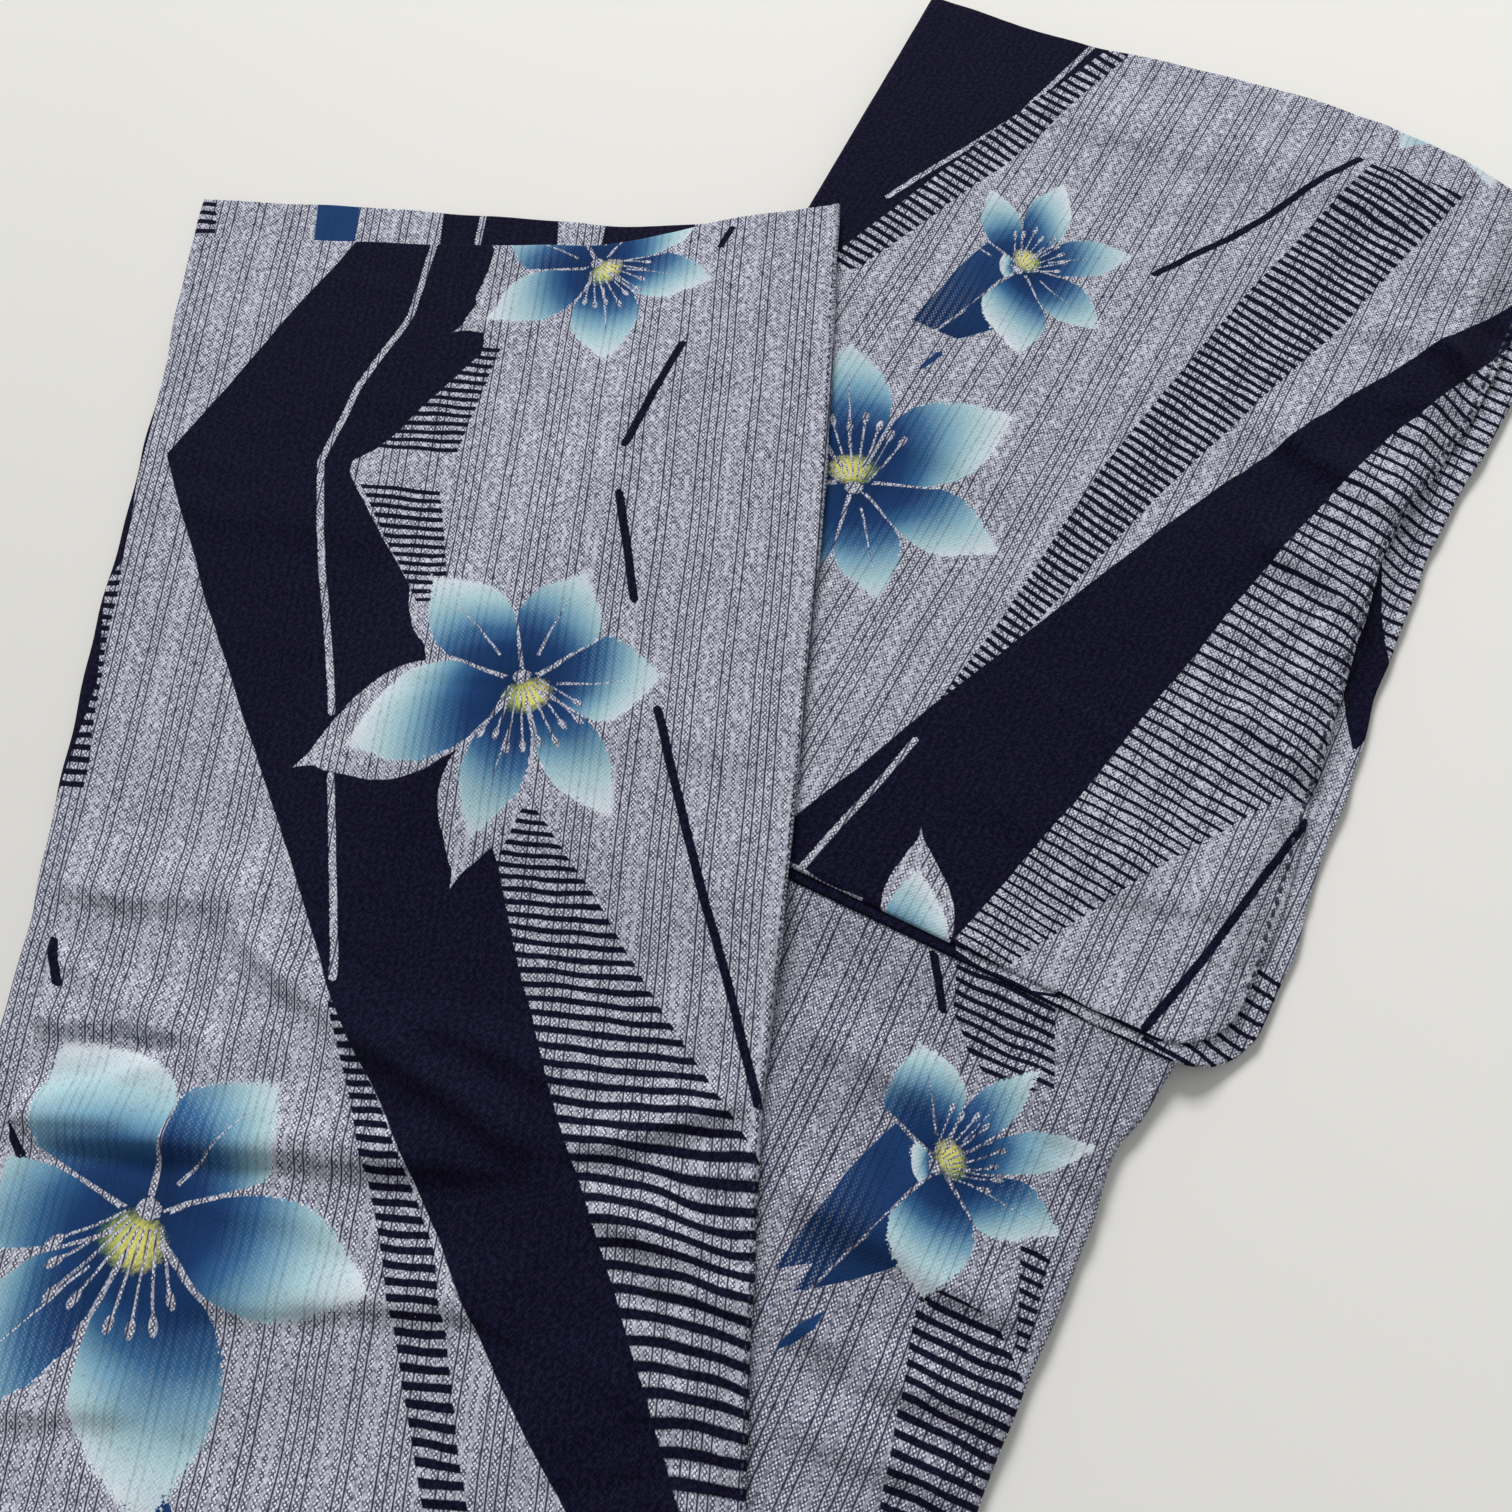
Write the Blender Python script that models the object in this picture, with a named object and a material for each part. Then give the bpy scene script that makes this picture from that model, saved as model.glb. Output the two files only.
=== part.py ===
"""A cotton yukata robe, folded lengthways into a flat strip and laid on a table.

The strip is folded once more, so that it lies as a narrow V: the shoulder half is underneath, with
the left sleeve folded back over it, and the skirt half lies on top. The turn between the halves is
nearest, at -Y. Both halves are drawn on one plan, seen from above, whose origin is OFFSET_X and
OFFSET_Y from the middle of the finished bundle. Sizes are in metres.
"""
import math
from collections import namedtuple

import bpy
from mathutils import Vector

# Cloth
CLOTH = 0.0012                 # one layer of the ribbed cotton, with the air it holds
SEAM_GAP = 0.0003              # clearance between pieces that touch
LAYER = CLOTH + SEAM_GAP
HIDDEN_LAYERS = 4              # body layers folded inside the strip
HIDDEN_STACK = 0.0040          # their height

# Plan of the two halves, as bearings clockwise from +Y
SKIRT_BEARING = math.radians(4.75)
SHOULDER_BEARING = math.radians(26.3)
OFFSET_X = 0.0320
OFFSET_Y = 0.2097

# The turn between the halves, in the skirt half's own measures
TURN_LEFT_ALONG = -0.233
TURN_RIGHT_ALONG = -0.241
TURN_BULGE = 0.0040            # how far the round of the turn swells past a half circle
TURN_STEPS = 8

# Skirt half: heights above what it lies on
SKIRT_CORE_TOP = HIDDEN_STACK
SKIRT_UNDER_TOP = SKIRT_CORE_TOP + LAYER
SKIRT_TOP = SKIRT_UNDER_TOP + LAYER
SKIRT_FIRST_STATION = -0.215
SKIRT_LAST_STATION = 0.475
SKIRT_STATION_STEP = 0.023
SKIRT_LEFT_REF = -0.300        # the outermost columns that all skirt layers share
SKIRT_RIGHT_REF = -0.012
SKIRT_COLUMNS = 13

# Shoulder half: heights above the table, without the sleeve under it
BODY_CORE_BOTTOM = LAYER
BODY_CORE_TOP = BODY_CORE_BOTTOM + HIDDEN_STACK
BODY_TOP = BODY_CORE_TOP + LAYER
UNDER_SLEEVE_HEIGHT = 2 * CLOTH + SEAM_GAP
BODY_RISE = UNDER_SLEEVE_HEIGHT + SEAM_GAP
BODY_RISE_FROM = 0.133         # the body climbs onto the sleeve under it between these stations
BODY_RISE_TO = 0.161
BODY_NEAR_STATIONS = (0.000, 0.030, 0.060, 0.085, 0.100, 0.115, BODY_RISE_FROM)
BODY_FAR_STATIONS = (0.190, 0.215, 0.238, 0.300, 0.380, 0.460, 0.550)
SLEEVE_BASE = BODY_TOP + BODY_RISE + SEAM_GAP
SLEEVE_TOP = SLEEVE_BASE + LAYER + CLOTH
SLEEVE_SLOPE_START = 0.005     # past the body's edge, the sleeve slopes down to the sleeve below
SLEEVE_SLOPE_RUN = 0.022

# How the skirt half climbs onto the shoulder half
CLIMB_RUN = 0.085              # width of the slope beside the shoulder half
CLIMB_LEAD = 0.018             # the slope ends this far outside its edge
SLEEVE_CLIMB_FROM = 0.088      # and it climbs onto the folded sleeve between these stations
SLEEVE_CLIMB_TO = 0.148

# Turned-down edges of the cloth
EDGE_RADIUS = 0.0035
EDGE_REACH = 0.0034            # how far a centre-back edge turns down, to the seam at mid-height
FOLD_RADIUS = 0.0028
FOLD_REACH = 0.0034
CORE_INSET = 0.0034            # the hidden layers stay this far inside the panels round them
LAYER_BULGE = 0.0014           # how far each hidden layer's folded edge swells

# Collar band, folded lengthways inside the shoulder end
COLLAR_WIDTH = 0.066
COLLAR_START = 0.245
COLLAR_END = 0.636
COLLAR_FOLDS = 3
SHOULDER_END = 0.640

COLOURS = {
    "ground": (0.29, 0.30, 0.40, 1.0),
    "ground_dark": (0.23, 0.24, 0.34, 1.0),
}
CLOTH_ROUGHNESS = 0.86

# Left and right edges of the skirt half's layers, from the turn to the hem
SkirtSection = namedtuple("SkirtSection", "along panel_left panel_right under_left")
SKIRT_SECTIONS = (
    SkirtSection(-0.241, -0.3245, 0.0000, -0.3300),
    SkirtSection(-0.160, -0.3190, 0.0010, -0.3300),
    SkirtSection(-0.074, -0.3120, 0.0020, -0.3300),
    SkirtSection(0.000, -0.3105, -0.0015, -0.3295),
    SkirtSection(0.061, -0.3110, -0.0030, -0.3290),
    SkirtSection(0.125, -0.3150, -0.0015, -0.3275),
    SkirtSection(0.160, -0.3165, 0.0000, -0.3280),
    SkirtSection(0.205, -0.3180, 0.0005, -0.3300),
    SkirtSection(0.286, -0.3240, 0.0020, -0.3310),
    SkirtSection(0.360, -0.3275, 0.0030, -0.3300),
    SkirtSection(0.425, -0.3290, 0.0010, -0.3300),
    SkirtSection(0.475, -0.3305, 0.0000, -0.3315),
    SkirtSection(0.530, -0.3310, -0.0010, -0.3330),
)

# The hems of the top panel and of the front under it, from the left edge to the right
HemSection = namedtuple("HemSection", "across panel_hem under_hem")
HEM_SECTIONS = (
    HemSection(-0.340, 0.4885, 0.5145),
    HemSection(-0.250, 0.4930, 0.5160),
    HemSection(-0.173, 0.4970, 0.5160),
    HemSection(-0.110, 0.5030, 0.5145),
    HemSection(-0.067, 0.5110, 0.5130),
    HemSection(-0.020, 0.5215, 0.5140),
    HemSection(0.004, 0.5280, 0.5145),
)

# Left and right edges of the body in the shoulder half, from the turn to the shoulder
BodySection = namedtuple("BodySection", "along left right")
BODY_SECTIONS = (
    BodySection(-0.340, -0.2210, 0.0870),
    BodySection(-0.224, -0.2150, 0.0890),
    BodySection(-0.120, -0.2090, 0.1060),
    BodySection(-0.030, -0.2060, 0.1090),
    BodySection(0.050, -0.2050, 0.1090),
    BodySection(0.085, -0.2050, 0.1075),
    BodySection(0.100, -0.2050, 0.1120),
    BodySection(0.140, -0.2045, 0.1160),
    BodySection(0.170, -0.2045, 0.1130),
    BodySection(0.220, -0.2040, 0.1080),
    BodySection(0.640, -0.2040, 0.1060),
)

# Cuff edges of the sleeve's two layers, from the rounded bottom corner to the shoulder
CuffSection = namedtuple("CuffSection", "along front_cuff back_cuff")
CUFF_SECTIONS = (
    CuffSection(0.1590, 0.1000, 0.1240),
    CuffSection(0.1620, 0.1020, 0.1360),
    CuffSection(0.1655, 0.1060, 0.1390),
    CuffSection(0.1680, 0.1170, 0.1405),
    CuffSection(0.1720, 0.1250, 0.1420),
    CuffSection(0.1780, 0.1305, 0.1435),
    CuffSection(0.2000, 0.1340, 0.1450),
    CuffSection(0.2500, 0.1325, 0.1430),
    CuffSection(0.2880, 0.1290, 0.1425),
    CuffSection(0.3260, 0.1250, 0.1415),
    CuffSection(0.3620, 0.1235, 0.1395),
    CuffSection(0.3960, 0.1205, 0.1390),
    CuffSection(0.4270, 0.1180, 0.1390),
    CuffSection(0.4550, 0.1215, 0.1400),
    CuffSection(0.4940, 0.1300, 0.1430),
    CuffSection(0.5420, 0.1360, 0.1490),
    CuffSection(0.6000, 0.1400, 0.1515),
    CuffSection(0.6300, 0.1390, 0.1490),
)

# Top edge of the sleeve, folded over the shoulder, from its left edge to the cuff
ShoulderSection = namedtuple("ShoulderSection", "across top")
SHOULDER_SECTIONS = (
    ShoulderSection(-0.215, 0.6435),
    ShoulderSection(-0.163, 0.6460),
    ShoulderSection(-0.119, 0.6500),
    ShoulderSection(-0.065, 0.6600),
    ShoulderSection(-0.004, 0.6675),
    ShoulderSection(0.039, 0.6685),
    ShoulderSection(0.070, 0.6670),
    ShoulderSection(0.112, 0.6560),
    ShoulderSection(0.142, 0.6400),
    ShoulderSection(0.155, 0.6280),
)
SLEEVE_LEFT = -0.2105
SLEEVE_BOTTOM_FRONT = 0.1655
SLEEVE_BOTTOM_BACK = 0.1590
SLEEVE_BOTTOM_UNDER = 0.1640   # the right sleeve's bottom edge
SLEEVE_CORNER_STATIONS = (0.1680, 0.1720, 0.1780)    # round the bottom corner
SLEEVE_FIRST_STATION = 0.185
SLEEVE_LAST_STATION = 0.620
SLEEVE_STATIONS = 20
SLEEVE_LEFT_REF = -0.190
SLEEVE_COLUMNS = 11
SLEEVE_SLOPE_COLUMNS = 3
SLEEVE_LAYER_INSET = 0.0055    # the back layer stays inside the sleeve's folded edges
UNDER_SLEEVE_INSET = 0.0045
UNDER_SLEEVE_TOP_INSET = 0.0030
CUFF_PUCKER = 0.0016           # height of the puckers that the stitched cuff draws up
CUFF_PUCKER_RUN = 0.030
CUFF_PUCKER_PITCH = 0.041
CUFF_PUCKER_BEAT = 0.113       # the puckers come and go over this length

# Large soft folds of the top panels: a ridge across the strip, tilted, between two sides
Ridge = namedtuple("Ridge", "along tilt start end half_width height")
SKIRT_RIDGES = (
    Ridge(0.068, 0.010, -0.300, -0.020, 0.020, 0.0022),
    Ridge(0.112, -0.030, -0.330, -0.235, 0.018, 0.0016),
    Ridge(-0.035, 0.060, -0.110, 0.000, 0.022, 0.0026),
)
BODY_RIDGES = (
    Ridge(0.095, 0.050, 0.008, 0.110, 0.020, 0.0018),
    Ridge(-0.040, -0.040, 0.032, 0.105, 0.026, 0.0016),
)
SLEEVE_RIDGES = (
    Ridge(0.410, 0.060, 0.020, 0.125, 0.024, 0.0028),
    Ridge(0.500, 0.090, 0.010, 0.140, 0.026, 0.0024),
    Ridge(0.235, -0.020, 0.030, 0.130, 0.022, 0.0014),
)


def ease(value):
    """Rise smoothly from 0 to 1 as value does."""
    value = min(max(value, 0.0), 1.0)
    return value * value * (3.0 - 2.0 * value)


def read_table(table, position, column):
    """Read a column of a table at a position between its rows, on a smooth curve."""
    places = [row[0] for row in table]
    heights = [getattr(row, column) for row in table]
    if position <= places[0]:
        return heights[0]
    if position >= places[-1]:
        return heights[-1]
    index = max(i for i in range(len(places) - 1) if places[i] <= position)
    span = places[index + 1] - places[index]
    ratio = (position - places[index]) / span
    slopes = []
    for i in (index, index + 1):
        before = max(i - 1, 0)
        after = min(i + 1, len(places) - 1)
        slopes.append((heights[after] - heights[before]) / (places[after] - places[before]) * span)
    start, end = heights[index], heights[index + 1]
    square, cube = ratio * ratio, ratio * ratio * ratio
    return (start * (2 * cube - 3 * square + 1) + slopes[0] * (cube - 2 * square + ratio)
            + end * (3 * square - 2 * cube) + slopes[1] * (cube - square))


class Half:
    """One half of the strip: along runs from the turn to the free end, and across to the right."""

    def __init__(self, bearing):
        self.sine = math.sin(bearing)
        self.cosine = math.cos(bearing)

    def plan(self, along, across):
        """Place a point given in the half's own measures on the common plan."""
        return along * self.sine + across * self.cosine, along * self.cosine - across * self.sine

    def measure(self, x, y):
        """Give a plan point in the half's own measures."""
        return x * self.sine + y * self.cosine, x * self.cosine - y * self.sine


SKIRT = Half(SKIRT_BEARING)
SHOULDER = Half(SHOULDER_BEARING)
TURN_LEFT = SHOULDER.measure(*SKIRT.plan(TURN_LEFT_ALONG, SKIRT_SECTIONS[0].under_left))
TURN_RIGHT = SHOULDER.measure(*SKIRT.plan(TURN_RIGHT_ALONG, SKIRT_SECTIONS[0].panel_right))


def body_rise(along):
    """Height of the body over the sleeve that is folded under it."""
    return BODY_RISE * ease((along - BODY_RISE_FROM) / (BODY_RISE_TO - BODY_RISE_FROM))


def climb(x, y):
    """Height of the skirt half over the table, where it climbs onto the shoulder half."""
    along, across = SHOULDER.measure(x, y)
    edge = read_table(BODY_SECTIONS, along, "left") - CLIMB_LEAD
    onto_sleeve = ease((along - SLEEVE_CLIMB_FROM) / (SLEEVE_CLIMB_TO - SLEEVE_CLIMB_FROM))
    height = BODY_TOP + (SLEEVE_TOP - BODY_TOP) * onto_sleeve + SEAM_GAP
    return height * ease((across - edge + CLIMB_RUN) / CLIMB_RUN)


def sleeve_level(along, across):
    """Height of the left sleeve's lower face, which slopes down past the body's edge."""
    start = read_table(BODY_SECTIONS, along, "right") + SLEEVE_SLOPE_START
    fall = SLEEVE_BASE - BODY_RISE
    return SLEEVE_BASE - fall * ease((across - start) / SLEEVE_SLOPE_RUN)


def ridge_height(ridges, along, across):
    """Height that the large folds add to a top panel."""
    total = 0.0
    for ridge in ridges:
        if not ridge.start < across < ridge.end:
            continue
        middle = 0.5 * (ridge.start + ridge.end)
        offset = along - ridge.along - ridge.tilt * (across - middle) / (ridge.end - ridge.start)
        side = math.sin(math.pi * (across - ridge.start) / (ridge.end - ridge.start))
        total += ridge.height * side * math.exp(-(offset / ridge.half_width) ** 2)
    return total


# A station is a line across a half: it gives the distance along at each distance across, and the
# nominal distance along at which the edge tables are read.
Station = namedtuple("Station", "nominal along")

# A column is a line along a half: the place across at a station, and how far the outside and the
# inside of the cloth lie below the panel's own level there.
Column = namedtuple("Column", "outside_across inside_across outside_drop inside_drop")


def straight_station(along):
    """A station square to the half's axis."""
    return Station(along, lambda across: along)


def turned_edge(edge, direction, radius, reach):
    """Columns from an edge inwards, where the cloth turns down over the layers inside it."""
    columns = []
    inner = radius - CLOTH
    if reach > radius:
        columns.append(Column(edge_at(edge, 0.0), edge_at(edge, direction * CLOTH), reach, reach))
    for degrees in (90, 60, 30, 0):
        swing = math.radians(degrees)
        outside = direction * radius * (1.0 - math.sin(swing))
        inside = direction * (radius - inner * math.sin(swing))
        columns.append(Column(edge_at(edge, outside), edge_at(edge, inside),
                              radius * (1.0 - math.cos(swing)), radius - inner * math.cos(swing)))
    return columns


def edge_at(edge, inset):
    """An edge function, moved by an inset."""
    return lambda nominal: edge(nominal) + inset


def cut_edge(edge):
    """One column at a plain cut edge."""
    return [Column(edge, edge, 0.0, CLOTH)]


def plain_columns(edge_from, edge_to, count, skip_first=True, skip_last=True):
    """Evenly spread columns between two edges."""
    columns = []
    for index in range(count + 1):
        if (index == 0 and skip_first) or (index == count and skip_last):
            continue
        share = index / count
        across = blend_edges(edge_from, edge_to, share)
        columns.append(Column(across, across, 0.0, CLOTH))
    return columns


def blend_edges(edge_from, edge_to, share):
    """An edge function part of the way between two others."""
    return lambda nominal: edge_from(nominal) * (1.0 - share) + edge_to(nominal) * share


def fixed(value):
    """An edge that stays at one distance across."""
    return lambda nominal: value


def table_edge(table, column):
    """An edge read from a table."""
    return lambda nominal: read_table(table, nominal, column)


def cloth_faces(half, stations, columns, level):
    """The outside and the inside of a panel, as rows of points, one row for each station."""
    outside, inside = [], []
    for station in stations:
        outside_row, inside_row = [], []
        for column in columns:
            across = column.outside_across(station.nominal)
            along = station.along(across)
            x, y = half.plan(along, across)
            outside_row.append(Vector((x, y, level(x, y, along, across) - column.outside_drop)))
            across = column.inside_across(station.nominal)
            along = station.along(across)
            x, y = half.plan(along, across)
            inside_row.append(Vector((x, y, level(x, y, along, across) - column.inside_drop)))
        outside.append(outside_row)
        inside.append(inside_row)
    return outside, inside


def rim_indices(rows, columns):
    """Indices of a grid's border points, in order round it."""
    bottom = [column for column in range(columns)]
    right = [row * columns + columns - 1 for row in range(1, rows)]
    top = [(rows - 1) * columns + column for column in range(columns - 2, -1, -1)]
    left = [row * columns for row in range(rows - 2, 0, -1)]
    return bottom + right + top + left


def closed_piece(name, colour, outside, inside, rings=()):
    """One closed solid from its outside and inside faces, joined round the rim through rings."""
    rows, columns = len(outside), len(outside[0])
    points = [point for row in outside for point in row]
    faces = []
    for row in range(rows - 1):
        for column in range(columns - 1):
            a = row * columns + column
            b, c, d = a + 1, a + columns + 1, a + columns
            faces += [(a, b, c), (a, c, d)]
    inside_start = len(points)
    points += [point for row in inside for point in row]
    faces += [(c + inside_start, b + inside_start, a + inside_start) for a, b, c in faces]
    rim = rim_indices(rows, columns)
    loops = [rim]
    for ring in rings:
        loops.append([len(points) + index for index in range(len(ring))])
        points += ring
    loops.append([index + inside_start for index in rim])
    for upper, lower in zip(loops, loops[1:]):
        for index in range(len(rim)):
            after = (index + 1) % len(rim)
            faces.append((upper[after], upper[index], lower[index]))
            faces.append((upper[after], lower[index], lower[after]))
    shift = Vector((-OFFSET_X, -OFFSET_Y, 0.0))
    mesh = bpy.data.meshes.new(name)
    mesh.from_pydata([point + shift for point in points], [], faces)
    mesh.update()
    mesh.materials.append(cloth_material(name, COLOURS[colour]))
    mesh.shade_smooth()
    mesh.set_sharp_from_angle(angle=math.radians(50))
    piece = bpy.data.objects.new(name, mesh)
    bpy.context.collection.objects.link(piece)
    return piece


def cloth_material(name, colour):
    """A matt cotton in one colour."""
    material = bpy.data.materials.new(name + "_cotton")
    material.use_nodes = True
    shader = material.node_tree.nodes["Principled BSDF"]
    shader.inputs["Base Color"].default_value = colour
    shader.inputs["Roughness"].default_value = CLOTH_ROUGHNESS
    shader.inputs["Metallic"].default_value = 0.0
    return material


def layered_rings(top, bottom, layers, bulge):
    """Rings down the side of a stack, swelling at each folded layer, unevenly round the edge."""
    rim = rim_indices(len(top), len(top[0]))
    upper = [[point for row in top for point in row][index] for index in rim]
    lower = [[point for row in bottom for point in row][index] for index in rim]
    rings = []
    for step in range(1, 2 * layers):
        ring = []
        for index, point in enumerate(upper):
            ahead = upper[(index + 1) % len(upper)] - upper[index - 1]
            outward = Vector((ahead.y, -ahead.x, 0.0)).normalized()
            swell = 0.0
            if step % 2:
                wave = math.sin(23.0 * point.x + 1.7 * step) * math.sin(19.0 * point.y + 2.3 * step)
                swell = bulge * (0.72 + 0.28 * wave)
            share = step / (2.0 * layers)
            ring.append(point.lerp(lower[index], share) + outward * swell)
        rings.append(ring)
    return rings


def stack_piece(name, colour, half, stations, columns, bottom_level, height, layers, bulge):
    """A solid stack of hidden layers between two faces of the same outline."""
    top, _ = cloth_faces(half, stations, columns,
                         lambda x, y, along, across: bottom_level(x, y, along, across) + height)
    bottom, _ = cloth_faces(half, stations, columns, bottom_level)
    rings = layered_rings(top, bottom, layers, bulge)
    return closed_piece(name, colour, top, bottom, rings)


def skirt_stations(end_station, first=SKIRT_FIRST_STATION):
    """Stations that all the skirt's layers share, with a layer's own end."""
    count = round((SKIRT_LAST_STATION - first) / SKIRT_STATION_STEP)
    step = (SKIRT_LAST_STATION - first) / count
    stations = [straight_station(first + step * index) for index in range(count + 1)]
    last = stations[-1]
    middle = Station(0.5 * (last.nominal + end_station.nominal),
                     lambda across: 0.5 * (last.nominal + end_station.along(across)))
    return stations + [middle, end_station]


def hem_station(column, inset=0.0):
    """The station along a hem."""
    return Station(SKIRT_SECTIONS[-1].along,
                   lambda across: read_table(HEM_SECTIONS, across, column) - inset)


def turn_station(inset=0.0):
    """The line of the turn, in the skirt half's measures."""
    left, right = SKIRT_SECTIONS[0].under_left, SKIRT_SECTIONS[0].panel_right
    slope = (TURN_RIGHT_ALONG - TURN_LEFT_ALONG) / (right - left)
    return Station(SKIRT_SECTIONS[0].along,
                   lambda across: TURN_LEFT_ALONG + slope * (across - left) + inset)


def skirt_columns(left_columns, right_columns):
    """A skirt layer's own edges round the columns that all its layers share."""
    shared = plain_columns(fixed(SKIRT_LEFT_REF), fixed(SKIRT_RIGHT_REF), SKIRT_COLUMNS, False, False)
    return left_columns + shared + right_columns[::-1]


def turn_rows(columns, radius):
    """Rows of the outermost panel round the turn, from its top down to the table."""
    station = turn_station()
    left = Vector((*SKIRT.plan(TURN_LEFT_ALONG, SKIRT_SECTIONS[0].under_left), 0.0))
    right = Vector((*SKIRT.plan(TURN_RIGHT_ALONG, SKIRT_SECTIONS[0].panel_right), 0.0))
    line = (right - left).normalized()
    outward = Vector((line.y, -line.x, 0.0))
    outside_rows, inside_rows = [], []
    for step in range(TURN_STEPS + 1):
        swing = math.pi * step / TURN_STEPS
        normal = outward * math.sin(swing) + Vector((0.0, 0.0, math.cos(swing)))
        bulge = outward * TURN_BULGE * math.sin(swing)
        rows = []
        for kind in ("outside", "inside"):
            row = []
            for column in columns:
                across = getattr(column, kind + "_across")(station.nominal)
                x, y = SKIRT.plan(station.along(across), across)
                centre = Vector((x, y, radius)) + bulge
                row.append(centre + normal * (radius - getattr(column, kind + "_drop")))
            rows.append(row)
        outside_rows.append(rows[0])
        inside_rows.append(rows[1])
    return outside_rows, inside_rows


def build_skirt_half():
    """The skirt half: the right back on top, the right front under it and the hidden layers."""
    panel_left = table_edge(SKIRT_SECTIONS, "panel_left")
    panel_right = table_edge(SKIRT_SECTIONS, "panel_right")
    under_left = table_edge(SKIRT_SECTIONS, "under_left")

    columns = skirt_columns(cut_edge(panel_left),
                            turned_edge(panel_right, -1.0, EDGE_RADIUS, EDGE_REACH))
    outside, inside = cloth_faces(
        SKIRT, skirt_stations(hem_station("panel_hem")), columns,
        lambda x, y, along, across: climb(x, y) + SKIRT_TOP + ridge_height(SKIRT_RIDGES, along, across))
    radius = 0.5 * (BODY_TOP + SEAM_GAP + SKIRT_TOP)
    turn_outside, turn_inside = turn_rows(columns, radius)
    closed_piece("back_right_skirt", "ground", turn_outside[::-1] + outside, turn_inside[::-1] + inside)

    columns = skirt_columns(turned_edge(under_left, 1.0, FOLD_RADIUS, FOLD_REACH),
                            cut_edge(edge_at(panel_right, -EDGE_RADIUS - SEAM_GAP)))
    outside, inside = cloth_faces(
        SKIRT, [turn_station(0.001)] + skirt_stations(hem_station("under_hem")), columns,
        lambda x, y, along, across: climb(x, y) + SKIRT_UNDER_TOP)
    closed_piece("front_right_skirt", "ground_dark", outside, inside)

    columns = skirt_columns(cut_edge(edge_at(under_left, CORE_INSET)),
                            cut_edge(edge_at(panel_right, -CORE_INSET)))
    stack_piece("folded_layers_skirt", "ground_dark", SKIRT,
                [turn_station(0.001)] + skirt_stations(hem_station("under_hem", CORE_INSET)), columns,
                lambda x, y, along, across: climb(x, y), SKIRT_CORE_TOP, HIDDEN_LAYERS, LAYER_BULGE)


def shoulder_stations(end, inset):
    """Stations of the body in the shoulder half, which fan round to the line of the turn."""
    slope = (TURN_RIGHT[0] - TURN_LEFT[0]) / (TURN_RIGHT[1] - TURN_LEFT[1])
    middle = 0.5 * (TURN_LEFT[0] + TURN_RIGHT[0])
    fan = []
    for share in (0.0, 0.25, 0.5, 0.75):
        start = TURN_LEFT[0] + inset
        fan.append(Station(
            middle * (1.0 - share),
            lambda across, share=share: (start + slope * (across - TURN_LEFT[1])) * (1.0 - share)))
    climbing = [BODY_RISE_FROM + (BODY_RISE_TO - BODY_RISE_FROM) * share
                for share in (0.25, 0.5, 0.75, 1.0)]
    square = [*BODY_NEAR_STATIONS, *climbing, *BODY_FAR_STATIONS, end]
    return fan + [straight_station(along) for along in square]


def build_shoulder_half():
    """The body in the shoulder half: the left back on top, the right back below, and the collar."""
    left = table_edge(BODY_SECTIONS, "left")
    right = table_edge(BODY_SECTIONS, "right")
    middle = plain_columns(edge_at(left, 0.010), edge_at(right, -0.006), 9, False, False)

    columns = cut_edge(left) + middle + turned_edge(right, -1.0, EDGE_RADIUS, EDGE_REACH)[::-1]
    outside, inside = cloth_faces(
        SHOULDER, shoulder_stations(SHOULDER_END, 0.0030), columns,
        lambda x, y, along, across:
        body_rise(along) + BODY_TOP + ridge_height(BODY_RIDGES, along, across)
        * (1.0 - ease((along - BODY_RISE_FROM) / (BODY_RISE_TO - BODY_RISE_FROM))))
    closed_piece("back_left_shoulder", "ground", outside, inside)

    turned_up = [Column(c.outside_across, c.inside_across, -c.outside_drop, -c.inside_drop)
                 for c in columns]
    outside, inside = cloth_faces(
        SHOULDER, shoulder_stations(SHOULDER_END - 0.003, 0.0006), turned_up,
        lambda x, y, along, across: body_rise(along))
    closed_piece("back_right_shoulder", "ground", inside, outside)

    def core_right(nominal):
        inner = right(nominal) - CORE_INSET - 0.0008
        beside_collar = right(nominal) - COLLAR_WIDTH - 2.0 * CORE_INSET
        share = ease((nominal - COLLAR_START + 0.030) / 0.022)
        return inner + (beside_collar - inner) * share

    columns = plain_columns(edge_at(left, CORE_INSET), core_right, 9, False, False)
    stack_piece("folded_layers_shoulder", "ground_dark", SHOULDER,
                shoulder_stations(SHOULDER_END - 0.004, 0.0040), columns,
                lambda x, y, along, across: body_rise(along) + BODY_CORE_BOTTOM,
                HIDDEN_STACK, HIDDEN_LAYERS, LAYER_BULGE)

    stations = [straight_station(COLLAR_START + (COLLAR_END - COLLAR_START) * share / 6.0)
                for share in range(7)]
    columns = plain_columns(edge_at(right, -COLLAR_WIDTH - CORE_INSET), edge_at(right, -CORE_INSET - 0.001),
                            4, False, False)
    stack_piece("collar", "ground_dark", SHOULDER, stations, columns,
                lambda x, y, along, across: body_rise(along) + BODY_CORE_BOTTOM,
                HIDDEN_STACK, COLLAR_FOLDS, LAYER_BULGE)


def sleeve_stations(bottoms, top_inset):
    """Stations of a sleeve layer, from its rounded bottom corner to the fold at the shoulder."""
    step = (SLEEVE_LAST_STATION - SLEEVE_FIRST_STATION) / SLEEVE_STATIONS
    middle = [SLEEVE_FIRST_STATION + step * index for index in range(SLEEVE_STATIONS + 1)]
    square = [straight_station(along) for along in (*bottoms, *SLEEVE_CORNER_STATIONS, *middle)]
    top = Station(CUFF_SECTIONS[-1].along,
                  lambda across: read_table(SHOULDER_SECTIONS, across, "top") - top_inset)
    return square + [top]


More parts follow.
